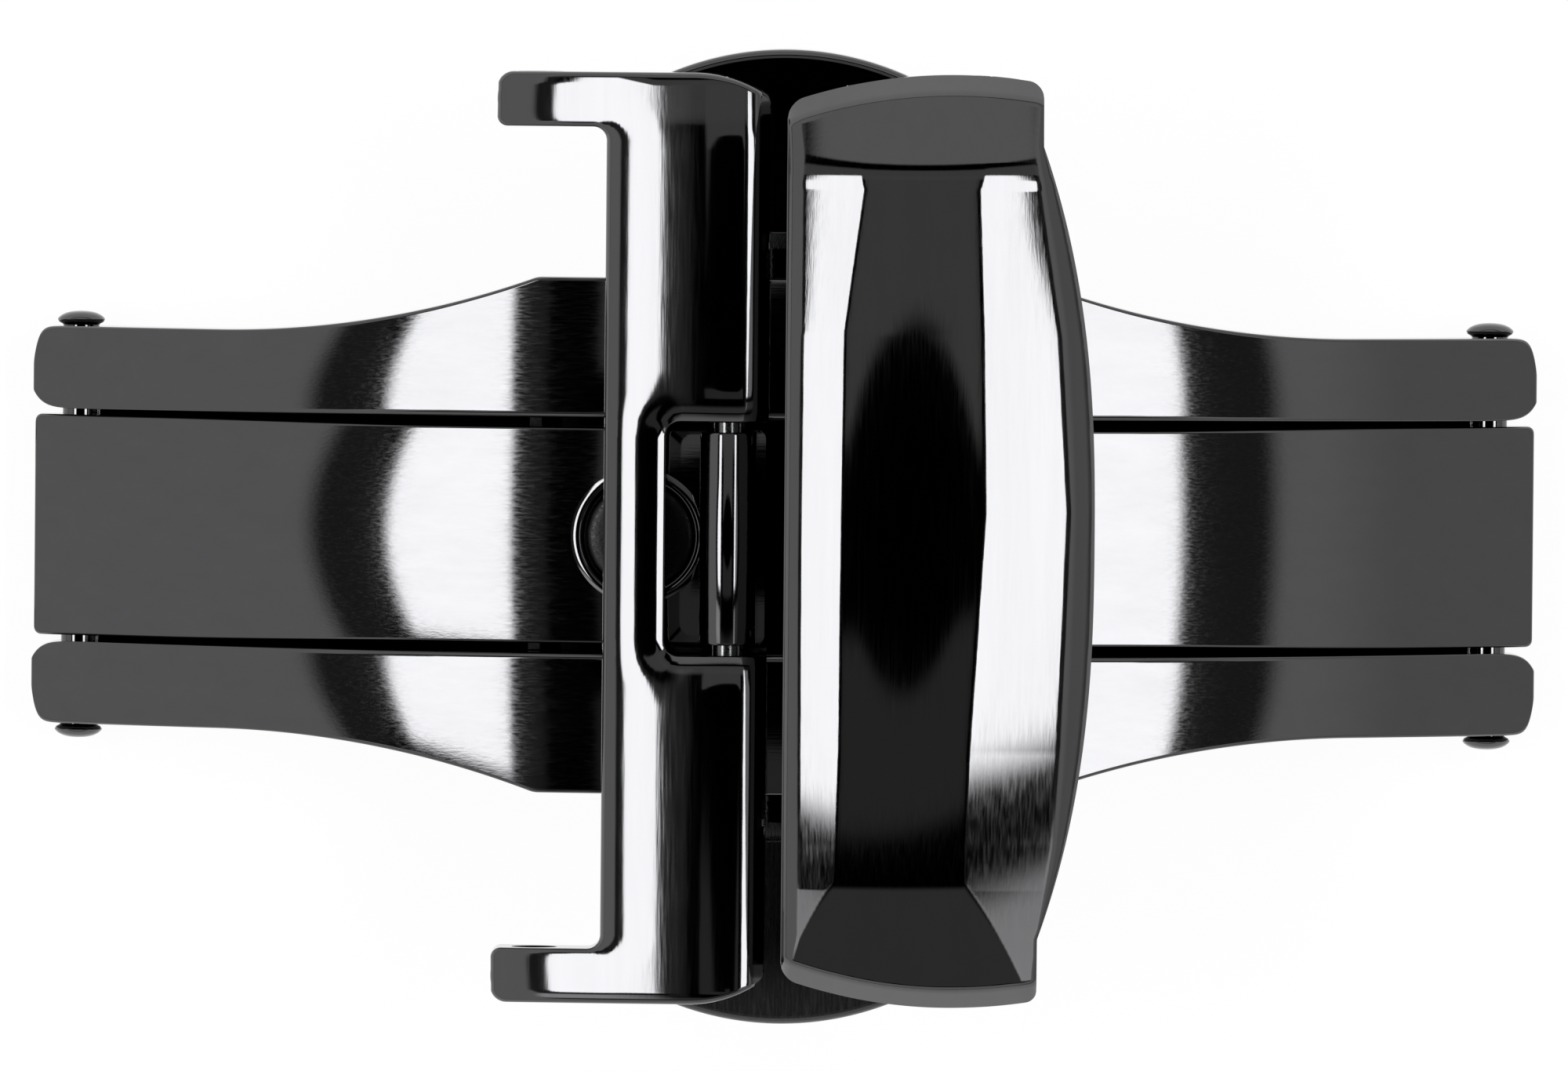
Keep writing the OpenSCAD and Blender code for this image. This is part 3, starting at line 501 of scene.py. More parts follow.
# The bar rolls off towards its north end, east of the prong
END_STEP = 0.02
END_Y = np.arange(8.5, 10.3, END_STEP)
END_SLOPE = np.interp(END_Y, (8.5, 8.8, 9.12, 9.5, 10.2), (0, 0.03, 0.135, 0.165, 0.18))
END_FALL = np.cumsum(END_SLOPE) * END_STEP


# Distance from the centre of a round corner, for a place that lies dx past it, and its direction
def past_corner(dx, y, corner_y):
    qx, qy = np.maximum(dx, 0), np.maximum(np.abs(y) - corner_y, 0)
    far = np.maximum(np.hypot(qx, qy), 1e-6)
    return far, qx / far, -np.sign(y) * qy / far


# How far a surface has fallen at a distance from its edge, and its slope there
def roll_off(distance, reach, slope):
    d = np.clip(distance, 0, reach[-1])
    fall = total(reach, slope)
    return fall[-1] - np.interp(d, reach, fall), np.interp(d, reach, slope)


def frame_top(x, y):
    x, y = np.asarray(x, float), np.asarray(y, float)
    sag = y * y / 600
    v, m = frame_fall(x - KNUCKLE_X)
    far, ox, oy = past_corner(BAR_X + SOFT_R - x, y, OPEN_Y - SOFT_R)
    fall, roll = roll_off(far - SOFT_R, OPEN_REACH, OPEN_SLOPE)
    # The roll-off is weaker along the prongs than along the bar
    share = 0.3 + 0.7 * ox * ox
    fall, roll = fall * share, roll * share
    far, rx, ry = past_corner(x - RECESS_X + SOFT_R, y, RECESS_Y - SOFT_R)
    dip, sink = roll_off(far - SOFT_R, RIM_REACH, RIM_SLOPE)
    # The outer side of each prong rolls off a little too
    side = SOFT_R - np.clip(HALF_W - np.abs(y), 0, SOFT_R)
    on_prong = np.abs(y) > OPEN_Y
    outer = np.where(on_prong, 0.5 * side ** 2, 0)
    outer_slope = np.where(on_prong, np.sign(y) * side, 0)
    on_bar = np.interp(x, (2.9, 3.7), (1, 0))
    end_slope = on_bar * np.interp(y, END_Y, END_SLOPE)
    end = FALL_SHARE * on_bar * np.interp(x, (0.7, 1.2), (0, 1)) * np.interp(y, END_Y, END_FALL)
    z = FRAME_TOP - FALL_SHARE * v - np.interp(x, NOSE_ROWS, NOSE_FALL)
    nx = m + roll * ox - np.interp(x, NOSE_ROWS, NOSE_SLOPE) - sink * rx - 0.08 * end_slope
    ny = y / 250 + roll * oy + outer_slope + sink * ry + end_slope
    return z - sag - fall - outer - dip - end, np.column_stack((nx, ny, 0 * x + 1))


def frame_bottom(x, y):
    x = np.asarray(x, float)
    arc = ARC_Z + np.sqrt(UNDER_R * UNDER_R - x * x)
    d = np.clip((KNUCKLE_X - x) / NOSE_R, -1, 1)
    low = KNUCKLE_Z - NOSE_R * np.sqrt(1 - d * d)
    nose_zone = (np.abs(x - KNUCKLE_X) <= NOSE_R) & ((x < KNUCKLE_X) | (low < arc))
    nx = np.where(nose_zone, -d, -x / UNDER_R)
    nz = np.where(nose_zone, -np.sqrt(1 - d * d), -np.sqrt(UNDER_R * UNDER_R - x * x) / UNDER_R)
    return np.where(nose_zone, low, arc), np.column_stack((nx, 0 * x, nz))


def strap_frame():
    # Round corners in plan: at the nose, the large one next to it, and three at a prong's tip
    nose_r, nose_y, turn = 0.4, 9.435, 121.3
    corner_r, corner_x = 2.9, NOSE_X + 1.7
    tip_r, bulge_r, inner_r = 0.35, 1.2, 0.22
    recess_x, recess_y = RECESS_X - SOFT_R, RECESS_Y - SOFT_R
    half = arc_points(recess_x, recess_y, SOFT_R, 0, 90, 8)[:-1]
    half += line_points((recess_x, RECESS_Y), (NOSE_X, RECESS_Y), 0.08)
    half += line_points((NOSE_X, RECESS_Y), (NOSE_X, nose_y), 0.25)
    half += arc_points(NOSE_X + nose_r, nose_y, nose_r, 180, turn, 10)[:-1]
    half += arc_points(corner_x, HALF_W - corner_r, corner_r, turn, 90, 14)[:-1]
    half += line_points((corner_x, HALF_W), (TIP_X - tip_r, HALF_W), 0.15)
    half += arc_points(TIP_X - tip_r, HALF_W - tip_r, tip_r, 90, 8, 9)[:-1]
    half += arc_points(TIP_X - bulge_r, (OPEN_Y + HALF_W) / 2, bulge_r, 9, -9, 6)[:-1]
    half += arc_points(TIP_X - inner_r, OPEN_Y + inner_r, inner_r, -8, -90, 7)[:-1]
    half += line_points((TIP_X - inner_r, OPEN_Y), (BAR_X + SOFT_R, OPEN_Y), 0.15)
    half += arc_points(BAR_X + SOFT_R, OPEN_Y - SOFT_R, SOFT_R, 90, 180, 9)[:-1]
    half += line_points((BAR_X, OPEN_Y - SOFT_R), (BAR_X, 0), 0.2)
    recess = line_points((RECESS_X, -recess_y), (RECESS_X, recess_y), 0.25)[1:]
    outline = (recess + half + [(BAR_X, 0)] + [(x, -y) for x, y in half[::-1]])[::-1]
    p = np.array(outline)
    height = frame_top(p[:, 0], p[:, 1])[0] - frame_bottom(p[:, 0], p[:, 1])[0]
    on_nose = p[:, 0] < NOSE_X + 1e-4
    in_recess = (np.abs(p[:, 1]) < RECESS_Y + 0.01) & (p[:, 0] < RECESS_X + 0.02)
    soft = np.minimum(0.12, 0.3 * height) * np.clip((p[:, 0] - NOSE_X) / nose_r, 0, 1)
    e_top = np.where(on_nose, 0, np.where(in_recess, 0.05, soft))
    e_bottom = np.where(on_nose, 0, np.minimum(0.05, 0.3 * height))
    # Rows are close together where the top bends
    xs = [0.344, 0.352, 0.365, 0.385, 0.41, 0.44, 0.47, 0.5, 0.535, 0.565, 0.58, 0.6, 0.64, 0.68, 0.72, 0.77,
          0.8, 0.85, 0.92, 1.0, 1.06]
    xs += [*np.arange(KNUCKLE_X, 2.6, 0.17), *np.arange(2.64, 4.0, 0.07), *np.arange(4.0, TIP_X, 0.14)]
    ys = np.concatenate((np.arange(0, 2.4, 0.2), np.arange(2.6, 3.8, 0.07), np.arange(3.9, 8.41, 0.2),
                         np.arange(8.5, 10.1, 0.1)))
    ys = np.concatenate((-ys[:0:-1], ys))
    def keep(x, y):
        return x < 0.6 and RECESS_Y + 0.12 < abs(y) < 9.5
    inside = inner_points(outline, xs, ys, 0.07, keep)
    return moved(slab(outline, e_top, e_bottom, frame_top, frame_bottom, inside, steps=4), -1, 1)


# Strap cap: its ends along X, its top, the underside of its roof, and the arcs of its round ends
CAP_X, CAP_E, SKIRT_Y = 0.02, 6.8, 8.66
CAP_TOP, CEILING_Z, ROOF_R = KNUCKLE_Z + 2.99, 9.43905, 58.0
END_R, END_X, END_BAND, ROUND_Y = 11.0, 3.7, 0.42, 8.7
# Creases where the north and south facets begin, and the slopes of these facets
NORTH, SOUTH = 8.12, -7.62
NORTH_T, SOUTH_T = math.tan(math.radians(31)), math.tan(math.radians(18))
# Places across the strap, and the cap's creases along X there: west bevel, east bevel, skirt
ROWS = np.array((-10.3, -9.3, -7.6, -6.6, -4.5, 0.7, 4.6, 7.7, 8.3, 10.3))
WEST = np.array((1.2, 1.18, 1.15, 1.2, 1.26, 1.28, 1.31, 1.72, 1.6, 1.3))
EAST = np.array((4.05, 4.04, 4.03, 4.03, 4.1, 4.4, 4.33, 4.22, 4.4, 4.6))
BREAK = np.array((5.42, 5.48, 5.72, 5.86, 5.98, 6.14, 5.93, 5.47, 5.4, 5.4))


# East edge in plan, which draws in towards both ends
def skirt_edge(y):
    return CAP_E - 1.18 * (np.minimum(np.abs(y), SKIRT_Y) / SKIRT_Y) ** 2.6


# Fall of the roof over Y
def roof_fall(y):
    y = np.asarray(y, float)
    return ROOF_R - np.sqrt(ROOF_R ** 2 - np.minimum(np.abs(y), 10.3) ** 2)


# Fall of the cap's section along X from its ridge, with a tilt in degrees at each knot
def cap_section(x, y):
    west, east = np.interp(y, ROWS, WEST), np.interp(y, ROWS, EAST)
    edge = skirt_edge(y)
    brink = np.minimum(np.interp(y, ROWS, BREAK), edge - 0.1)
    fold = brink + np.minimum(0.12, 0.4 * (edge - brink))
    ridge = (west + east) / 2
    knots = [0 * x + CAP_X + d for d in (0, 0.12, 0.3, 0.42)]
    knots += [west - 0.04, west + 0.04, ridge, east - 0.05, east + 0.05, brink, fold, edge, edge + 1]
    tilts = (-62, -42, -25, -18.2, -14.8, -9, 0, 9, 14.8, 18.4, 24, 47, 47)
    slopes = [math.tan(math.radians(t)) for t in tilts]
    def rise(at):
        height = 0 * x
        for k in range(len(knots) - 1):
            w = knots[k + 1] - knots[k]
            t = np.clip((at - knots[k]) / np.maximum(w, 1e-9), 0, 1)
            height = height + w * (slopes[k] * t + (slopes[k + 1] - slopes[k]) * t * t / 2)
        return height
    return rise(x) - rise(ridge)


def soft_min(a, b, k):
    h = np.clip(0.5 + 0.5 * (b - a) / k, 0, 1)
    return b * (1 - h) + a * h - k * h * (1 - h)


def cap_height(x, y):
    x, y = np.asarray(x, float), np.asarray(y, float)
    across = cap_section(x, y)
    z = CAP_TOP - roof_fall(y) - across
    # North facet, across which less and less of the section's fall goes on
    fading = 1 - 0.27 * np.clip(y - NORTH, 0, 2)
    facet = CAP_TOP - roof_fall(NORTH) - (y - NORTH) * NORTH_T - across * fading
    z = soft_min(z, facet, 0.11)
    # South facet, as convex as the roof's middle
    west, east = np.interp(y, ROWS, WEST), np.interp(y, ROWS, EAST)
    facet = CAP_TOP - roof_fall(SOUTH) + (y - SOUTH) * SOUTH_T - cap_section(np.clip(x, west, east), y)
    z = soft_min(z, facet, 0.05)
    # Steep bands along both round ends
    for side, steep in ((1, 1.13), (-1, 1.4)):
        inset = END_R - np.hypot(x - END_X, y + side * (END_R - HALF_W))
        inset = np.where(side * y > 5, inset, 9)
        z = z + soft_min(0 * x, (inset - END_BAND) * steep, 0.12)
    return z


def cap_normal(x, y):
    h = 0.004
    dx = (cap_height(x + h, y) - cap_height(x - h, y)) / (2 * h)
    dy = (cap_height(x, y + h) - cap_height(x, y - h)) / (2 * h)
    n = np.stack((-dx, -dy, np.ones_like(dx)), -1)
    return n / np.linalg.norm(n, axis=-1)[..., None]


def cap_under(x):
    arc = ARC_Z + np.sqrt(UNDER_R * UNDER_R - x * x)
    a, b = CAP_X, KNUCKLE_X - NOSE_R / 2
    za, zb = KNUCKLE_Z - 0.35, KNUCKLE_Z - NOSE_R * math.sin(math.radians(60))
    return np.where(x < b, za + (x - a) / (b - a) * (zb - za), arc)


def spread(a, b, count):
    return list(np.linspace(a, b, count, endpoint=False))


# Places along X of the cap's grid, close together at the creases
def cap_columns(y):
    edge = float(skirt_edge(y))
    west, east, brink = (float(np.interp(y, ROWS, v)) for v in (WEST, EAST, BREAK))
    brink = min(brink, edge - 0.1)
    fold = brink + min(0.14, 0.5 * (edge - brink))
    xs = spread(CAP_X, CAP_X + 0.42, 14) + spread(CAP_X + 0.42, west - 0.06, 9)
    xs += spread(west - 0.06, west + 0.06, 6) + spread(west + 0.06, east - 0.07, 30)
    xs += spread(east - 0.07, east + 0.07, 6) + spread(east + 0.07, brink - 0.02, 20)
    return xs + spread(brink - 0.02, fold, 6) + spread(fold, edge, 8) + [edge]


# Row of the grid that follows a round end, at a share t of the way out to it
def round_row(side, t):
    def corner(d, r):
        return r - math.sqrt(max(r * r - max(r - d, 0) ** 2, 0))
    row = []
    xs = cap_columns(side * (ROUND_Y + t * 1.3))
    for x in xs:
        edge = HALF_W - END_R + math.sqrt(END_R ** 2 - (x - END_X) ** 2)
        edge -= corner(x - CAP_X, 0.35) + corner(xs[-1] - x, 0.32 if side > 0 else 0.22)
        row.append((x, side * (ROUND_Y + t * (edge - ROUND_Y))))
    return row


def strap_cap():
    shape = Shape()
    rows = spread(0, 6.8, 50) + spread(6.8, ROUND_Y, 40)
    rows = sorted(set([-r for r in rows] + rows))
    ends = [k / 44 for k in range(1, 45)]
    grid = [round_row(-1, t) for t in ends[::-1]]
    grid += [[(x, y) for x in cap_columns(y)] for y in rows]
    grid += [round_row(1, t) for t in ends]
    grid = np.array(grid)
    x, y = grid[..., 0], grid[..., 1]
    z = cap_height(x, y)
    n = cap_normal(x, y)
    under = np.minimum(cap_under(x), z - 0.05)
    down = np.stack((-x / UNDER_R, 0 * x, 0 * x - 1), -1)
    down /= np.linalg.norm(down, axis=-1)[..., None]
    top, low = ([[tuple(p) for p in row] for row in np.stack((x, y, h), -1)] for h in (z, under))
    shape.grid(top, n, flip=True)
    shape.grid(low, down)
    # Walls round the rim
    last_i, last_j = x.shape[0] - 1, x.shape[1] - 1
    rim = [(0, j) for j in range(last_j + 1)] + [(i, last_j) for i in range(1, last_i + 1)]
    rim += [(last_i, j) for j in range(last_j - 1, -1, -1)] + [(i, 0) for i in range(last_i - 1, 0, -1)]
    p = np.array([(x[q], y[q]) for q in rim])
    d = np.roll(p, -1, 0) - np.roll(p, 1, 0)
    out = np.stack((d[:, 1], -d[:, 0], np.zeros(len(d))), 1)
    out /= np.maximum(np.linalg.norm(out, axis=1), 1e-9)[:, None]
    for k in range(len(rim)):
        m = (k + 1) % len(rim)
        (ai, aj), (bi, bj) = rim[k], rim[m]
        shape.face([top[ai][aj], low[ai][aj], low[bi][bj], top[bi][bj]], [out[k], out[k], out[m], out[m]])
    return shape


# Temporary object with a shape's faces
def raw_object(shape):
    mesh = bpy.data.meshes.new("raw")
    mesh.from_pydata([Vector(p) for p in shape.points], [], shape.faces)
    mesh.update()
    obj = bpy.data.objects.new("raw", mesh)
    scene.collection.objects.link(obj)
    return obj


# Takes cutters from a piece, gives kept faces their normals again, and gives the walls of the round
# holes, as (x, z, radius), normals towards their axes
def cut(shape, cutters, rounds):
    known = {}
    for ids, normals in zip(shape.faces, shape.normals):
        for k, i in enumerate(ids):
            if normals is not None:
                known.setdefault(i, []).append(np.array(normals[k], float))
    tree = KDTree(len(shape.points))
    for i, p in enumerate(shape.points):
        tree.insert(p, i)
    tree.balance()
    def normal_at(p, fn):
        _, i, gap = tree.find(p)
        best = None
        for given in known.get(i, []) if gap < 1e-4 else []:
            if best is None or given @ fn > best @ fn:
                best = given
        if best is not None and best @ fn >= 0.6:
            return best
        best = fn
        for cx, cz, r in rounds:
            d = np.array((p[0] - cx, 0, p[2] - cz))
            if abs(np.linalg.norm(d) - r) < 2e-3 and abs(unit(d) @ fn) > 0.7:
                best = -unit(d)
        return best
    base = raw_object(shape)
    tools = [raw_object(c) for c in cutters]
    for tool in tools:
        mod = base.modifiers.new("cut", "BOOLEAN")
        mod.operation = "DIFFERENCE"
        mod.solver = "EXACT"
        mod.object = tool
    graph = bpy.context.evaluated_depsgraph_get()
    result = bpy.data.meshes.new_from_object(base.evaluated_get(graph))
    out = Shape()
    places = np.array([tuple(v.co) for v in result.vertices])
    for poly in result.polygons:
        fn = np.array(poly.normal)
        corners = [tuple(places[i]) for i in poly.vertices]
        out.face(corners, [normal_at(p, fn) for p in corners])
    for obj in [base] + tools:
        bpy.data.objects.remove(obj, do_unlink=True)
    return out


def box_shape(lo, hi):
    s = Shape()
    (a, b, c), (d, e, f) = lo, hi
    s.face([(a, b, c), (a, e, c), (d, e, c), (d, b, c)])
    s.face([(a, b, f), (d, b, f), (d, e, f), (a, e, f)])
    s.face([(a, b, c), (d, b, c), (d, b, f), (a, b, f)])
    s.face([(a, e, c), (a, e, f), (d, e, f), (d, e, c)])
    s.face([(a, b, c), (a, b, f), (a, e, f), (a, e, c)])
    s.face([(d, b, c), (d, e, c), (d, e, f), (d, b, f)])
    return s


# Rod along Y from -half to half
def rod_y(x, z, r, half, segments=48):
    s = Shape()
    turns = [2 * math.pi * k / segments for k in range(segments)]
    ring = [(x + r * math.sin(t), z + r * math.cos(t)) for t in turns]
    for a, b in zip(ring, ring[1:] + ring[:1]):
        s.face([(b[0], -half, b[1]), (b[0], half, b[1]), (a[0], half, a[1]), (a[0], -half, a[1])])
    s.face([(a[0], -half, a[1]) for a in ring][::-1])
    s.face([(a[0], half, a[1]) for a in ring])
    return s


# Hinge pin with a low mushroom head at each end, along Y about its middle
PIN_R = 0.4
HEAD = ((PIN_R, 0), (0.43, 0.03), (0.49, 0.06), (0.52, 0.1), (0.53, 0.13), (0.5, 0.17), (0.44, 0.22),
        (0.35, 0.265), (0.24, 0.295), (0.12, 0.31), (0, 0.315))


def hinge_pin():
    head = [(r, RAIL_Y + 0.02 + h) for r, h in HEAD]
    profile = [(r, -y) for r, y in head[::-1]] + [(PIN_R, -WING_Y), (PIN_R, WING_Y)] + head
    return lathe(Shape(), profile, (PIN_X, 0, PIN_Z), "y", 72)


# Bright rim round the stud and the peened disc in it, as (radius, height over the blade)
STUD_RIM = ((1.52, -0.25), (1.515, -0.06), (1.5, -0.036), (1.45, -0.022), (1.38, -0.008), (1.33, -0.012),
            (1.28, -0.04), (1.24, -0.08), (1.21, -0.13), (1.2, -0.3))
STUD_FACE = ((1.19, -0.32), (1.19, -0.21), (1.15, -0.17), (1.05, -0.145), (0.9, -0.135), (0.6, -0.125),
             (0.3, -0.13), (0, -0.135))


# A profile turned round the stud's axis, on the blade's slope
def on_stud(profile):
    shape = lathe(Shape(), profile, (0, 0, 0), "z", 96)
    a = math.asin(STUD_X / WING_R)
    c, s = math.cos(a), math.sin(a)
    z = ARC_Z + math.sqrt(WING_R ** 2 - STUD_X ** 2)
    shape.points = [(STUD_X + p[0] * c + p[2] * s, p[1], z - p[0] * s + p[2] * c) for p in shape.points]
    shape.normals = [[(n[0] * c + n[2] * s, n[1], n[2] * c - n[0] * s) for n in f] for f in shape.normals]
    return shape


# Button: a slab whose outer face is an arc, with soft rims. Both faces may fall a little outwards.
BUTTON_R, BUTTON_CY, BUTTON_X, BUTTON_Y, BUTTON_H = 6.545, 4.17, 3.5, 6.66, 3.2
BUTTON_TOP = 6.7493


def button(droop):
    x, y0 = BUTTON_X, BUTTON_Y
    a = math.degrees(math.acos(x / BUTTON_R))
    y1 = BUTTON_CY + math.sqrt(BUTTON_R * BUTTON_R - x * x) - 0.12
    outline = arc_points(0, BUTTON_CY, BUTTON_R, a + 1.2, 178.8 - a, 72)
    outline += line_points((-x, y1), (-x, y0), 0.3) + line_points((-x, y0), (x, y0), 0.35)
    outline += line_points((x, y0), (x, y1), 0.3) + [(x, y1)]
    def level(z, up):
        def f(x, y):
            d = np.maximum(np.asarray(y, float) - 8.6, 0)
            return z - up * droop * d * d / 2, np.column_stack((0 * d, droop * d, 0 * d + up))
        return f
    e = np.where([p[1] > y0 + 0.01 for p in outline], 0.2, 0.05)
    inside = inner_points(outline, np.arange(-3.4, 3.5, 0.4), np.arange(6.9, 10.6, 0.15), 0.22)
    return slab(outline, e, e, level(BUTTON_TOP, 1), level(BUTTON_TOP - BUTTON_H, -1), inside, steps=6)


# Materials: coated or bare steel, brushed along one axis, with faint streaks in its tone and gloss
def steel(name, base, roughness, stretch=(1, 1, 1), brush=0.3, depth=0.12, clouds=0.04):
    m = bpy.data.materials.new(name)
    m.use_nodes = True
    nodes, links = m.node_tree.nodes, m.node_tree.links
    b = nodes["Principled BSDF"]
    b.inputs["Base Color"].default_value = (*base, 1)
    b.inputs["Metallic"].default_value = 1.0
    b.inputs["Roughness"].default_value = roughness
    coords = nodes.new("ShaderNodeTexCoord")
    mapping = nodes.new("ShaderNodeMapping")
    mapping.inputs["Scale"].default_value = stretch
    links.new(coords.outputs["Object"], mapping.inputs["Vector"])
    def noise(scale, detail, rough):
        n = nodes.new("ShaderNodeTexNoise")
        n.inputs["Scale"].default_value = scale
        n.inputs["Detail"].default_value = detail
        n.inputs["Roughness"].default_value = rough
        links.new(mapping.outputs["Vector"], n.inputs["Vector"])
        return n.outputs["Fac"]
    fine, cloud = noise(22000, 4, 0.5), noise(1800, 6, 0.7)
    gloss = nodes.new("ShaderNodeMapRange")
    gloss.inputs["From Min"].default_value = 0.3
    gloss.inputs["From Max"].default_value = 0.7
    gloss.inputs["To Min"].default_value = roughness * (1 - brush)
    gloss.inputs["To Max"].default_value = roughness * (1 + brush)
    links.new(fine, gloss.inputs["Value"])
    links.new(gloss.outputs["Result"], b.inputs["Roughness"])
    tone = nodes.new("ShaderNodeMix")
    tone.data_type = "RGBA"
    tone.inputs[6].default_value = (*[c * (1 - clouds) for c in base], 1)
    tone.inputs[7].default_value = (*[c * (1 + clouds) for c in base], 1)
    links.new(cloud, tone.inputs[0])
    links.new(tone.outputs[2], b.inputs["Base Color"])
    bump = nodes.new("ShaderNodeBump")
    bump.inputs["Strength"].default_value = depth
    bump.inputs["Distance"].default_value = 0.000004
    links.new(fine, bump.inputs["Height"])
    links.new(bump.outputs["Normal"], b.inputs["Normal"])
    return m


BLACK = (0.1, 0.1, 0.103)
rail_mat = steel("black_rails", BLACK, 0.06, (0.04, 1, 1), 0.4, 0.08, 0.08)
plain_mat = steel("black_polished", BLACK, 0.06, (1, 1, 1), 0.2, 0.03)
bar_mat = steel("black_frame", BLACK, 0.06, (1, 0.04, 1), 0.3, 0.06, 0.07)
cap_mat = steel("black_cap", BLACK, 0.065, (1, 0.03, 1), 0.4, 0.09, 0.08)
button_mat = steel("black_buttons", BLACK, 0.07, (0.05, 1, 1), 0.3, 0.06)
# Copy of the button steel for the south button only: the same steel, made duller and darker to paint the
# greyer light that button shows
south_button_painted_light_mat = steel("black_button_painted_light", (0.085, 0.085, 0.087), 0.27, (1, 0.05, 1), 0.3, 0.2)
satin_mat = steel("black_satin", (0.13, 0.13, 0.133), 0.2, (1, 1, 1), 0.3, 0.15)
# Stud steel: rough and peened, with its colour set far darker than the black steel as painted shade for the
# recess under the strap frame's bar
stud_painted_shade_mat = steel("stud_steel", (0.02, 0.02, 0.0205), 0.34, (1, 1, 1), 0.4, 0.6, 0.4)
bare_mat = steel("bare_steel", (0.62, 0.63, 0.65), 0.25, (1, 0.05, 1))
wire_mat = steel("spring_steel", (0.55, 0.56, 0.58), 0.2, (1, 1, 1))

# CAD nodes take the material of their slot
SLOTS = {"black_polished": plain_mat, "black_brushed": cap_mat, "black_satin": satin_mat,
         "stud_steel": stud_painted_shade_mat, "bare_steel": bare_mat, "spring_steel": wire_mat}
for part in frame["record"]["subparts"]:
    for slot in frame["nodes"][part["node"]].material_slots:
        slot.material = SLOTS[part["material_slot"]]

# Body of each CAD node
BODY = {node: body for body, names in frame["record"]["behaviour"]["bodies"].items() for node in names}
BOTH_SIDES = (("north", 1), ("south", -1))
BOTH_ENDS = (("east", 1), ("west", -1))


def polished(name, shape, body, nodes, material):
    return make_object(name, shape, body, nodes, material)


def make_side_frames():
    for name, s in BOTH_SIDES:
        node = "side_frame_" + name
        polished(node + "_piece", moved(side_frame(-s), s, s), "base", [node], rail_mat)


def make_wings():
    low = DISC_TOP - 0.45
    high = DISC_TOP + 0.8
    sink = lathe(Shape(), [(0, low), (DISC_R, low), (DISC_R, DISC_TOP), (SINK_R, DISC_TOP + DISC_SINK),
                           (SINK_R, high), (0, high)], (STUD_X, 0, 0), "z", 96)
    r, y = KNUCKLE_R, KNUCKLE_Y
    ends = [(0, y), (r - 0.05, y), (r - 0.015, y - 0.015), (r, y - 0.05)]
    barrel = lathe(Shape(), [(a, -b) for a, b in ends] + ends[::-1], (KNUCKLE_X, 0, KNUCKLE_Z), "y", 96)
    web_z = KNUCKLE_Z - 1.6
    web = box_shape((KNUCKLE_X - 0.3, -y, web_z), (STUD_X - SINK_R - 0.01, y, KNUCKLE_Z))
    web_low = box_shape((KNUCKLE_X - r, -y, web_z), (KNUCKLE_X, y, KNUCKLE_Z))
    for name, s in BOTH_ENDS:
        wing, pin = "wing_" + name, "hinge_pin_" + name
        plate = cut(blade(BLADE_TILT[s > 0]), [sink], [])
        polished("blade_" + name, moved(plate, s, 1), wing, [wing], rail_mat)
        polished("knuckle_" + name, moved(barrel, s, 1), wing, [], plain_mat)
        polished("web_" + name, moved(web, s, 1), wing, [], plain_mat)
        polished("web_low_" + name, moved(web_low, s, 1), wing, [], plain_mat)
        polished("stud_rim_" + name, moved(on_stud(STUD_RIM), s, 1), wing, [], plain_mat)
        # The stud's face takes the darkened stud steel, whose colour paints the shade it lies in
        make_object("stud_face_" + name, moved(on_stud(STUD_FACE), s, 1), wing, [], stud_painted_shade_mat)
        polished(pin + "_piece", moved(hinge_pin(), s, 1), BODY[pin], [pin], plain_mat)


# The south button gets a duller, slightly darker copy of the button steel, which paints the greyer light it
# shows, and its faces fall a little
def make_buttons():
    for (name, s), droop, mat in zip(BOTH_SIDES, (0, 0.05), (button_mat, south_button_painted_light_mat)):
        node = "button_" + name
        polished(node + "_piece", moved(button(droop), s, s), BODY[node], [node], mat)


# Springs behind the buttons, copied from the CAD nodes and fixed to the base
def make_springs():
    for name, s in BOTH_SIDES:
        for end in ("west", "east"):
            node = "spring_" + name + "_" + end
            copy = frame["nodes"][node].data.copy()
            spring = add_piece(node + "_piece", copy, "base", [node], wire_mat)
            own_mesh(spring)


# Bores for the strap pins and for the straps' spring bars
PIN_BORE_R, BAR_BORE_R, PAST = 0.34, 0.5, 11
FRAME_BAR_X, FRAME_BAR_Z, CAP_BAR_X = -5.39, 7.75444, KNUCKLE_X + 3.4


def make_strap_frame():
    bores = [(-KNUCKLE_X, KNUCKLE_Z, PIN_BORE_R), (FRAME_BAR_X, FRAME_BAR_Z, BAR_BORE_R)]
    shape = cut(strap_frame(), [rod_y(*bore, PAST) for bore in bores], bores)
    polished("strap_frame_piece", shape, "strap_frame", ["strap_frame"], bar_mat)


# The cap is hollow between its side walls and has a recess for the wing's knuckle
def make_strap_cap():
    wall_y, wall_x, knuckle_room = 9.02, 2.35, 0.73
    hollow = box_shape((wall_x, -wall_y, 0), (9, wall_y, CEILING_Z))
    recess = box_shape((-0.95, -RECESS_Y, 0), (wall_x + 0.01, RECESS_Y, KNUCKLE_Z + 0.11))
    bores = [(KNUCKLE_X, KNUCKLE_Z, PIN_BORE_R), (CAP_BAR_X, KNUCKLE_Z, BAR_BORE_R)]
    room = (KNUCKLE_X, KNUCKLE_Z, knuckle_room)
    rods = [rod_y(*bore, PAST) for bore in bores] + [rod_y(*room, RECESS_Y)]
    shape = cut(strap_cap(), [hollow, recess] + rods, bores + [room])
    make_object("strap_cap_piece", shape, "strap_cap", ["strap_cap"], cap_mat)


make_side_frames()
make_wings()
make_buttons()
make_springs()
make_strap_frame()
make_strap_cap()


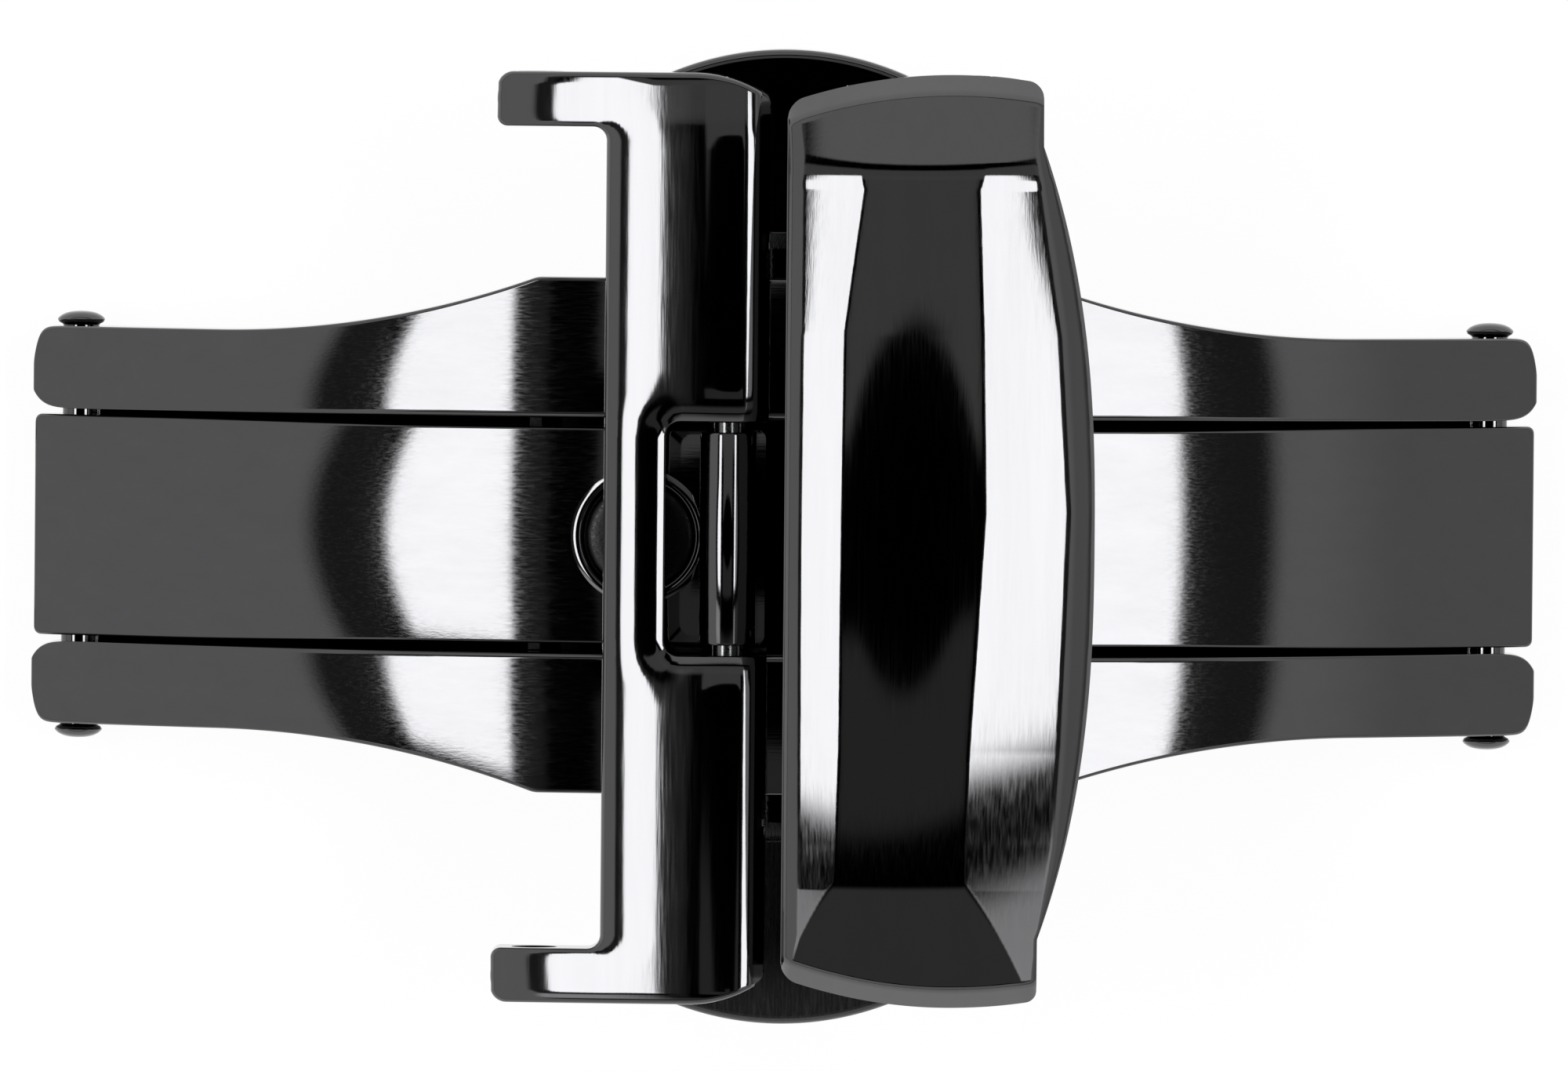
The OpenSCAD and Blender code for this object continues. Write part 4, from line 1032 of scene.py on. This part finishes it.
# Adds a math node to a shader, with sockets or numbers as its inputs
def math_node(tree, op, *values):
    n = tree.nodes.new("ShaderNodeMath")
    n.operation = op
    for k, v in enumerate(values):
        if isinstance(v, (int, float)):
            n.inputs[k].default_value = v
        else:
            tree.links.new(v, n.inputs[k])
    return n.outputs[0]


# White floor that keeps the object's shadow
def make_floor():
    mesh = bpy.data.meshes.new("floor")
    mesh.from_pydata([(-3, -3, 0), (3, -3, 0), (3, 3, 0), (-3, 3, 0)], [], [(0, 1, 2, 3)])
    floor = bpy.data.objects.new("floor", mesh)
    scene.collection.objects.link(floor)
    m = bpy.data.materials.new("floor")
    m.use_nodes = True
    tree = m.node_tree
    nodes, links = tree.nodes, tree.links
    b = nodes["Principled BSDF"]
    b.inputs["Base Color"].default_value = (0.9, 0.9, 0.9, 1)
    b.inputs["Roughness"].default_value = 0.9
    b.inputs["Specular IOR Level"].default_value = 0.1
    glow = nodes.new("ShaderNodeEmission")
    glow.inputs["Strength"].default_value = 1.03
    path = nodes.new("ShaderNodeLightPath").outputs
    seen = math_node(tree, "MAXIMUM", path["Is Camera Ray"], path["Is Glossy Ray"])
    seen = math_node(tree, "MAXIMUM", seen, path["Is Transmission Ray"])
    mix = nodes.new("ShaderNodeMixShader")
    links.new(math_node(tree, "MULTIPLY", seen, 0.92), mix.inputs[0])
    links.new(b.outputs[0], mix.inputs[1])
    links.new(glow.outputs[0], mix.inputs[2])
    links.new(mix.outputs[0], nodes["Material Output"].inputs["Surface"])
    mesh.materials.append(m)


# Studio, by the angle to either side (ax) and to the north (ay) of straight up, in degrees. A stop
# (a, b) is a soft step up from a to b where a is less than b, and a soft step down from b to a otherwise.
# Each zone has its strength, and stops over ax and over ay.
CORE_AX, CORE_AY = 18, 8.5
AROUND = (19.2, 17.6)
ZONES = (
    (0.27, (), ((-48, -44), (-22, -28))),
    (0.09, ((23.6, 24.2), (26.7, 26.3)), ((-24, -20), (30, 26))),
    (0.45, (), ((26, 30), (42, 38))),
    (0.42, ((17.6, 19.2), (27.4, 26.6)), ((16, 22), (30, 26))),
    (0.09, ((39.5, 41),), ()),
    # Weaker light south of each softbox
    (2.2, ((26, 32), (50, 42)), ((-36, -26), (-18.4, -20.6))),
)
SOFTBOX = 11.5


def make_world():
    world = bpy.data.worlds.new("world")
    scene.world = world
    world.use_nodes = True
    tree = world.node_tree
    nodes, links = tree.nodes, tree.links
    nodes.clear()
    split = nodes.new("ShaderNodeSeparateXYZ")
    links.new(nodes.new("ShaderNodeTexCoord").outputs["Generated"], split.inputs[0])
    to_x, to_y, to_z = (split.outputs[k] for k in "XYZ")
    def calc(op, *values):
        return math_node(tree, op, *values)
    def times(*values):
        product = values[0]
        for v in values[1:]:
            product = calc("MULTIPLY", product, v)
        return product
    def step(v, lo, hi, a, b):
        n = nodes.new("ShaderNodeMapRange")
        n.interpolation_type = "SMOOTHSTEP"
        for key, value in (("From Min", lo), ("From Max", hi), ("To Min", a), ("To Max", b)):
            n.inputs[key].default_value = value
        links.new(v, n.inputs["Value"])
        return n.outputs[0]
    def at(v, *stops):
        steps = []
        for a, b in stops:
            lo, hi = math.radians(min(a, b)), math.radians(max(a, b))
            steps.append(step(v, lo, hi, 0, 1) if a < b else step(v, lo, hi, 1, 0))
        return times(*steps)
    ax = calc("ABSOLUTE", calc("ARCTAN2", to_x, to_z))
    ay = calc("ARCTAN2", to_y, to_z)
    # The far edges of the softboxes curve inwards
    near = calc("MINIMUM", calc("ABSOLUTE", calc("ADD", ay, math.radians(1.6))), math.radians(16))
    outer = calc("ADD", ax, times(near, near, 0.9))
    # Dark core under the middle, and the greys north and south of it
    core_x = calc("DIVIDE", ax, math.radians(CORE_AX))
    core_y = calc("DIVIDE", calc("ADD", ay, math.radians(-0.1)), math.radians(CORE_AY))
    oval = calc("ADD", calc("POWER", core_x, 2), calc("POWER", core_y, 2))
    around = times(step(oval, 0.85, 1.15, 0, 1), at(ax, AROUND))
    north = calc("ADD", times(at(ay, (17, 21)), 0.04), 0.44)
    level = times(around, at(ay, (2, 4), (30, 26)), north)
    level = calc("ADD", level, times(around, at(ay, (-15.5, -14.2), (-5, -6.5)), 0.19))
    for strength, ax_stops, ay_stops in ZONES:
        parts = [at(v, *stops) for v, stops in ((ax, ax_stops), (ay, ay_stops)) if stops]
        level = calc("ADD", level, times(*parts, strength))
    box = times(at(ax, (27.2, 27.8)), at(outer, (41.2, 39.6)), at(ay, (-15.4, -13.2), (28, 24)))
    level = calc("ADD", level, times(box, SOFTBOX))
    # Pale room outside, pushed out and a little darker on the east side
    east = step(to_x, -0.1, 0.1, 0, 1)
    rim = calc("SUBTRACT", outer, times(east, math.radians(1.8)))
    room = calc("MAXIMUM", at(rim, (47, 50.5)), calc("MAXIMUM", at(ay, (50, 54)), at(ay, (-52, -62))))
    room = calc("MAXIMUM", room, step(to_z, 0.0, 0.05, 1, 0))
    horizon = step(calc("ABSOLUTE", to_z), 0.03, 0.12, 0.45, 1)
    shade = calc("SUBTRACT", 1, times(east, at(ax, (54, 66)), 0.24))
    level = calc("MAXIMUM", level, times(room, horizon, shade))
    back = nodes.new("ShaderNodeBackground")
    links.new(level, back.inputs["Strength"])
    white = nodes.new("ShaderNodeBackground")
    white.inputs["Strength"].default_value = 1
    path = nodes.new("ShaderNodeLightPath")
    mix = nodes.new("ShaderNodeMixShader")
    links.new(path.outputs["Is Camera Ray"], mix.inputs[0])
    links.new(back.outputs[0], mix.inputs[1])
    links.new(white.outputs[0], mix.inputs[2])
    links.new(mix.outputs[0], nodes.new("ShaderNodeOutputWorld").inputs["Surface"])


make_floor()
make_world()
